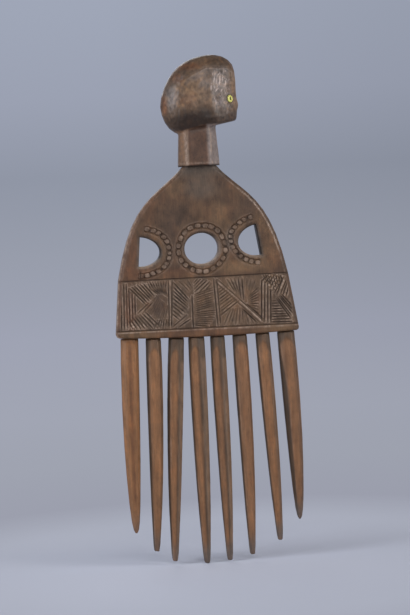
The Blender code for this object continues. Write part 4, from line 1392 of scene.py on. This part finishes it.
def studio_paper(name, floor):
    """Matt background paper that glows in its own colour, where the camera sees it far from the comb."""
    material, tree, shader, place = start_finish(name, {"Roughness": 0.9, "Specular IOR Level": 0.1})
    pulp = add(tree, "TexNoise", {"Vector": place, "Scale": PULP_SCALE, "Detail": 3.0})
    mottled = {0: pulp, 6: (*floor * 0.97, 1.0), 7: (*floor * 1.03, 1.0)}
    paper = add(tree, "Mix", mottled, 2, data_type="RGBA")
    parts = add(tree, "SeparateXYZ", {"Vector": place}).node.outputs
    level = add(tree, "CombineXYZ", {"X": parts["X"], "Y": parts["Y"]})
    out = add(tree, "VectorMath", {0: level}, "Value", operation="LENGTH")
    reach = add(tree, "Math", {0: out, 1: parts["Z"]}, operation="ADD")
    last = BACKDROP[-1][0]
    ramp = add(tree, "ValToRGB", {"Fac": add(tree, "Math", {0: reach, 1: last}, operation="DIVIDE")})
    stops = ramp.node.color_ramp.elements
    while len(stops) < len(BACKDROP):
        stops.new(0.5)
    for stop, (at, colour) in zip(stops, BACKDROP):
        stop.position = at / last
        stop.color = (*linear(colour), 1.0)

    # Both the paper and its glow darken a little to the right, a painted shade: where that starts and ends,
    # and how dark
    dimmed = []
    for light, start, end, dark in ((paper, -0.03, 0.10, 0.86), (ramp, 0.04, 0.36, 0.90)):
        share = add(tree, "MapRange", {"Value": parts["X"], "From Min": start, "From Max": end})
        mix = {0: share, 6: light, 7: (dark, dark, dark, 1.0)}
        dimmed.append(add(tree, "Mix", mix, 2, data_type="RGBA", blend_type="MULTIPLY"))
    tree.links.new(dimmed[0], shader.inputs["Base Color"])
    glow = add(tree, "Emission", {"Color": dimmed[1], "Strength": 1.0})

    rays = add(tree, "LightPath").node.outputs
    seen = rays["Is Camera Ray"]
    for kind in ("Is Glossy Ray", "Is Transmission Ray"):
        seen = add(tree, "Math", {0: seen, 1: rays[kind]}, operation="ADD")
    limits = {"Value": reach, "From Min": GLOW_START, "From Max": GLOW_FULL}
    far = add(tree, "MapRange", limits, interpolation_type="SMOOTHSTEP")
    share = add(tree, "Math", {0: seen, 1: far}, operation="MULTIPLY", use_clamp=True)
    mixed = add(tree, "MixShader", {0: share, 1: shader.outputs["BSDF"], 2: glow})
    tree.links.new(mixed, tree.nodes["Material Output"].inputs["Surface"])
    return material


def build_studio():
    """A profile of floor, sweep and wall, spun round the comb."""
    form = bmesh.new()
    outline = [(0, 0), (FLOOR_RADIUS, 0)]
    for step in range(1, SWEEP_STEPS + 1):
        turn = math.pi / 2 * step / SWEEP_STEPS
        outline.append((FLOOR_RADIUS + SWEEP_RADIUS * math.sin(turn), SWEEP_RADIUS * (1 - math.cos(turn))))
    outline.append((FLOOR_RADIUS + SWEEP_RADIUS, WALL_HEIGHT))
    profile = [form.verts.new((out, 0, up)) for out, up in outline]
    edges = [form.edges.new(pair) for pair in zip(profile, profile[1:])]
    revolve(form, profile + edges, BOWL_STEPS)
    mesh = mesh_of(form, "studio bowl")
    mesh.shade_smooth()
    mesh.materials.append(studio_paper("matt grey-blue background paper", PAPER))
    bowl = add_object("studio_bowl", mesh)


def soft_box(name, place, size, power, colour):
    """A square area light that looks at the comb and isn't seen itself."""
    data = bpy.data.lights.new(name, "AREA")
    data.shape = "RECTANGLE"
    data.size, data.size_y = size
    data.energy = power
    data.color = colour
    lamp = add_object(name, data)
    lamp.location = place
    lamp.rotation_mode = "QUATERNION"
    lamp.rotation_quaternion = (AIM - lamp.location).to_track_quat("-Z", "Y")
    lamp.visible_camera = False


build_studio()
for box_name, settings in SOFT_BOXES.items():
    soft_box(box_name, *settings)

world = bpy.data.worlds.new("studio air")
bpy.context.scene.world = world
world.use_nodes = True
air = world.node_tree.nodes["Background"]
air.inputs["Color"].default_value = (*AIR, 1.0)
air.inputs["Strength"].default_value = AIR_STRENGTH
bpy.context.scene.view_settings.view_transform = "Standard"

# %% [markdown]
# ## Measure and finish
#
# The dressed comb has to stay the size of its solids. The box of the solids is printed.

# %% Print the solids' box
print("solids:", [round(v / MM, 2) for v in (*cad_low, *cad_high)])
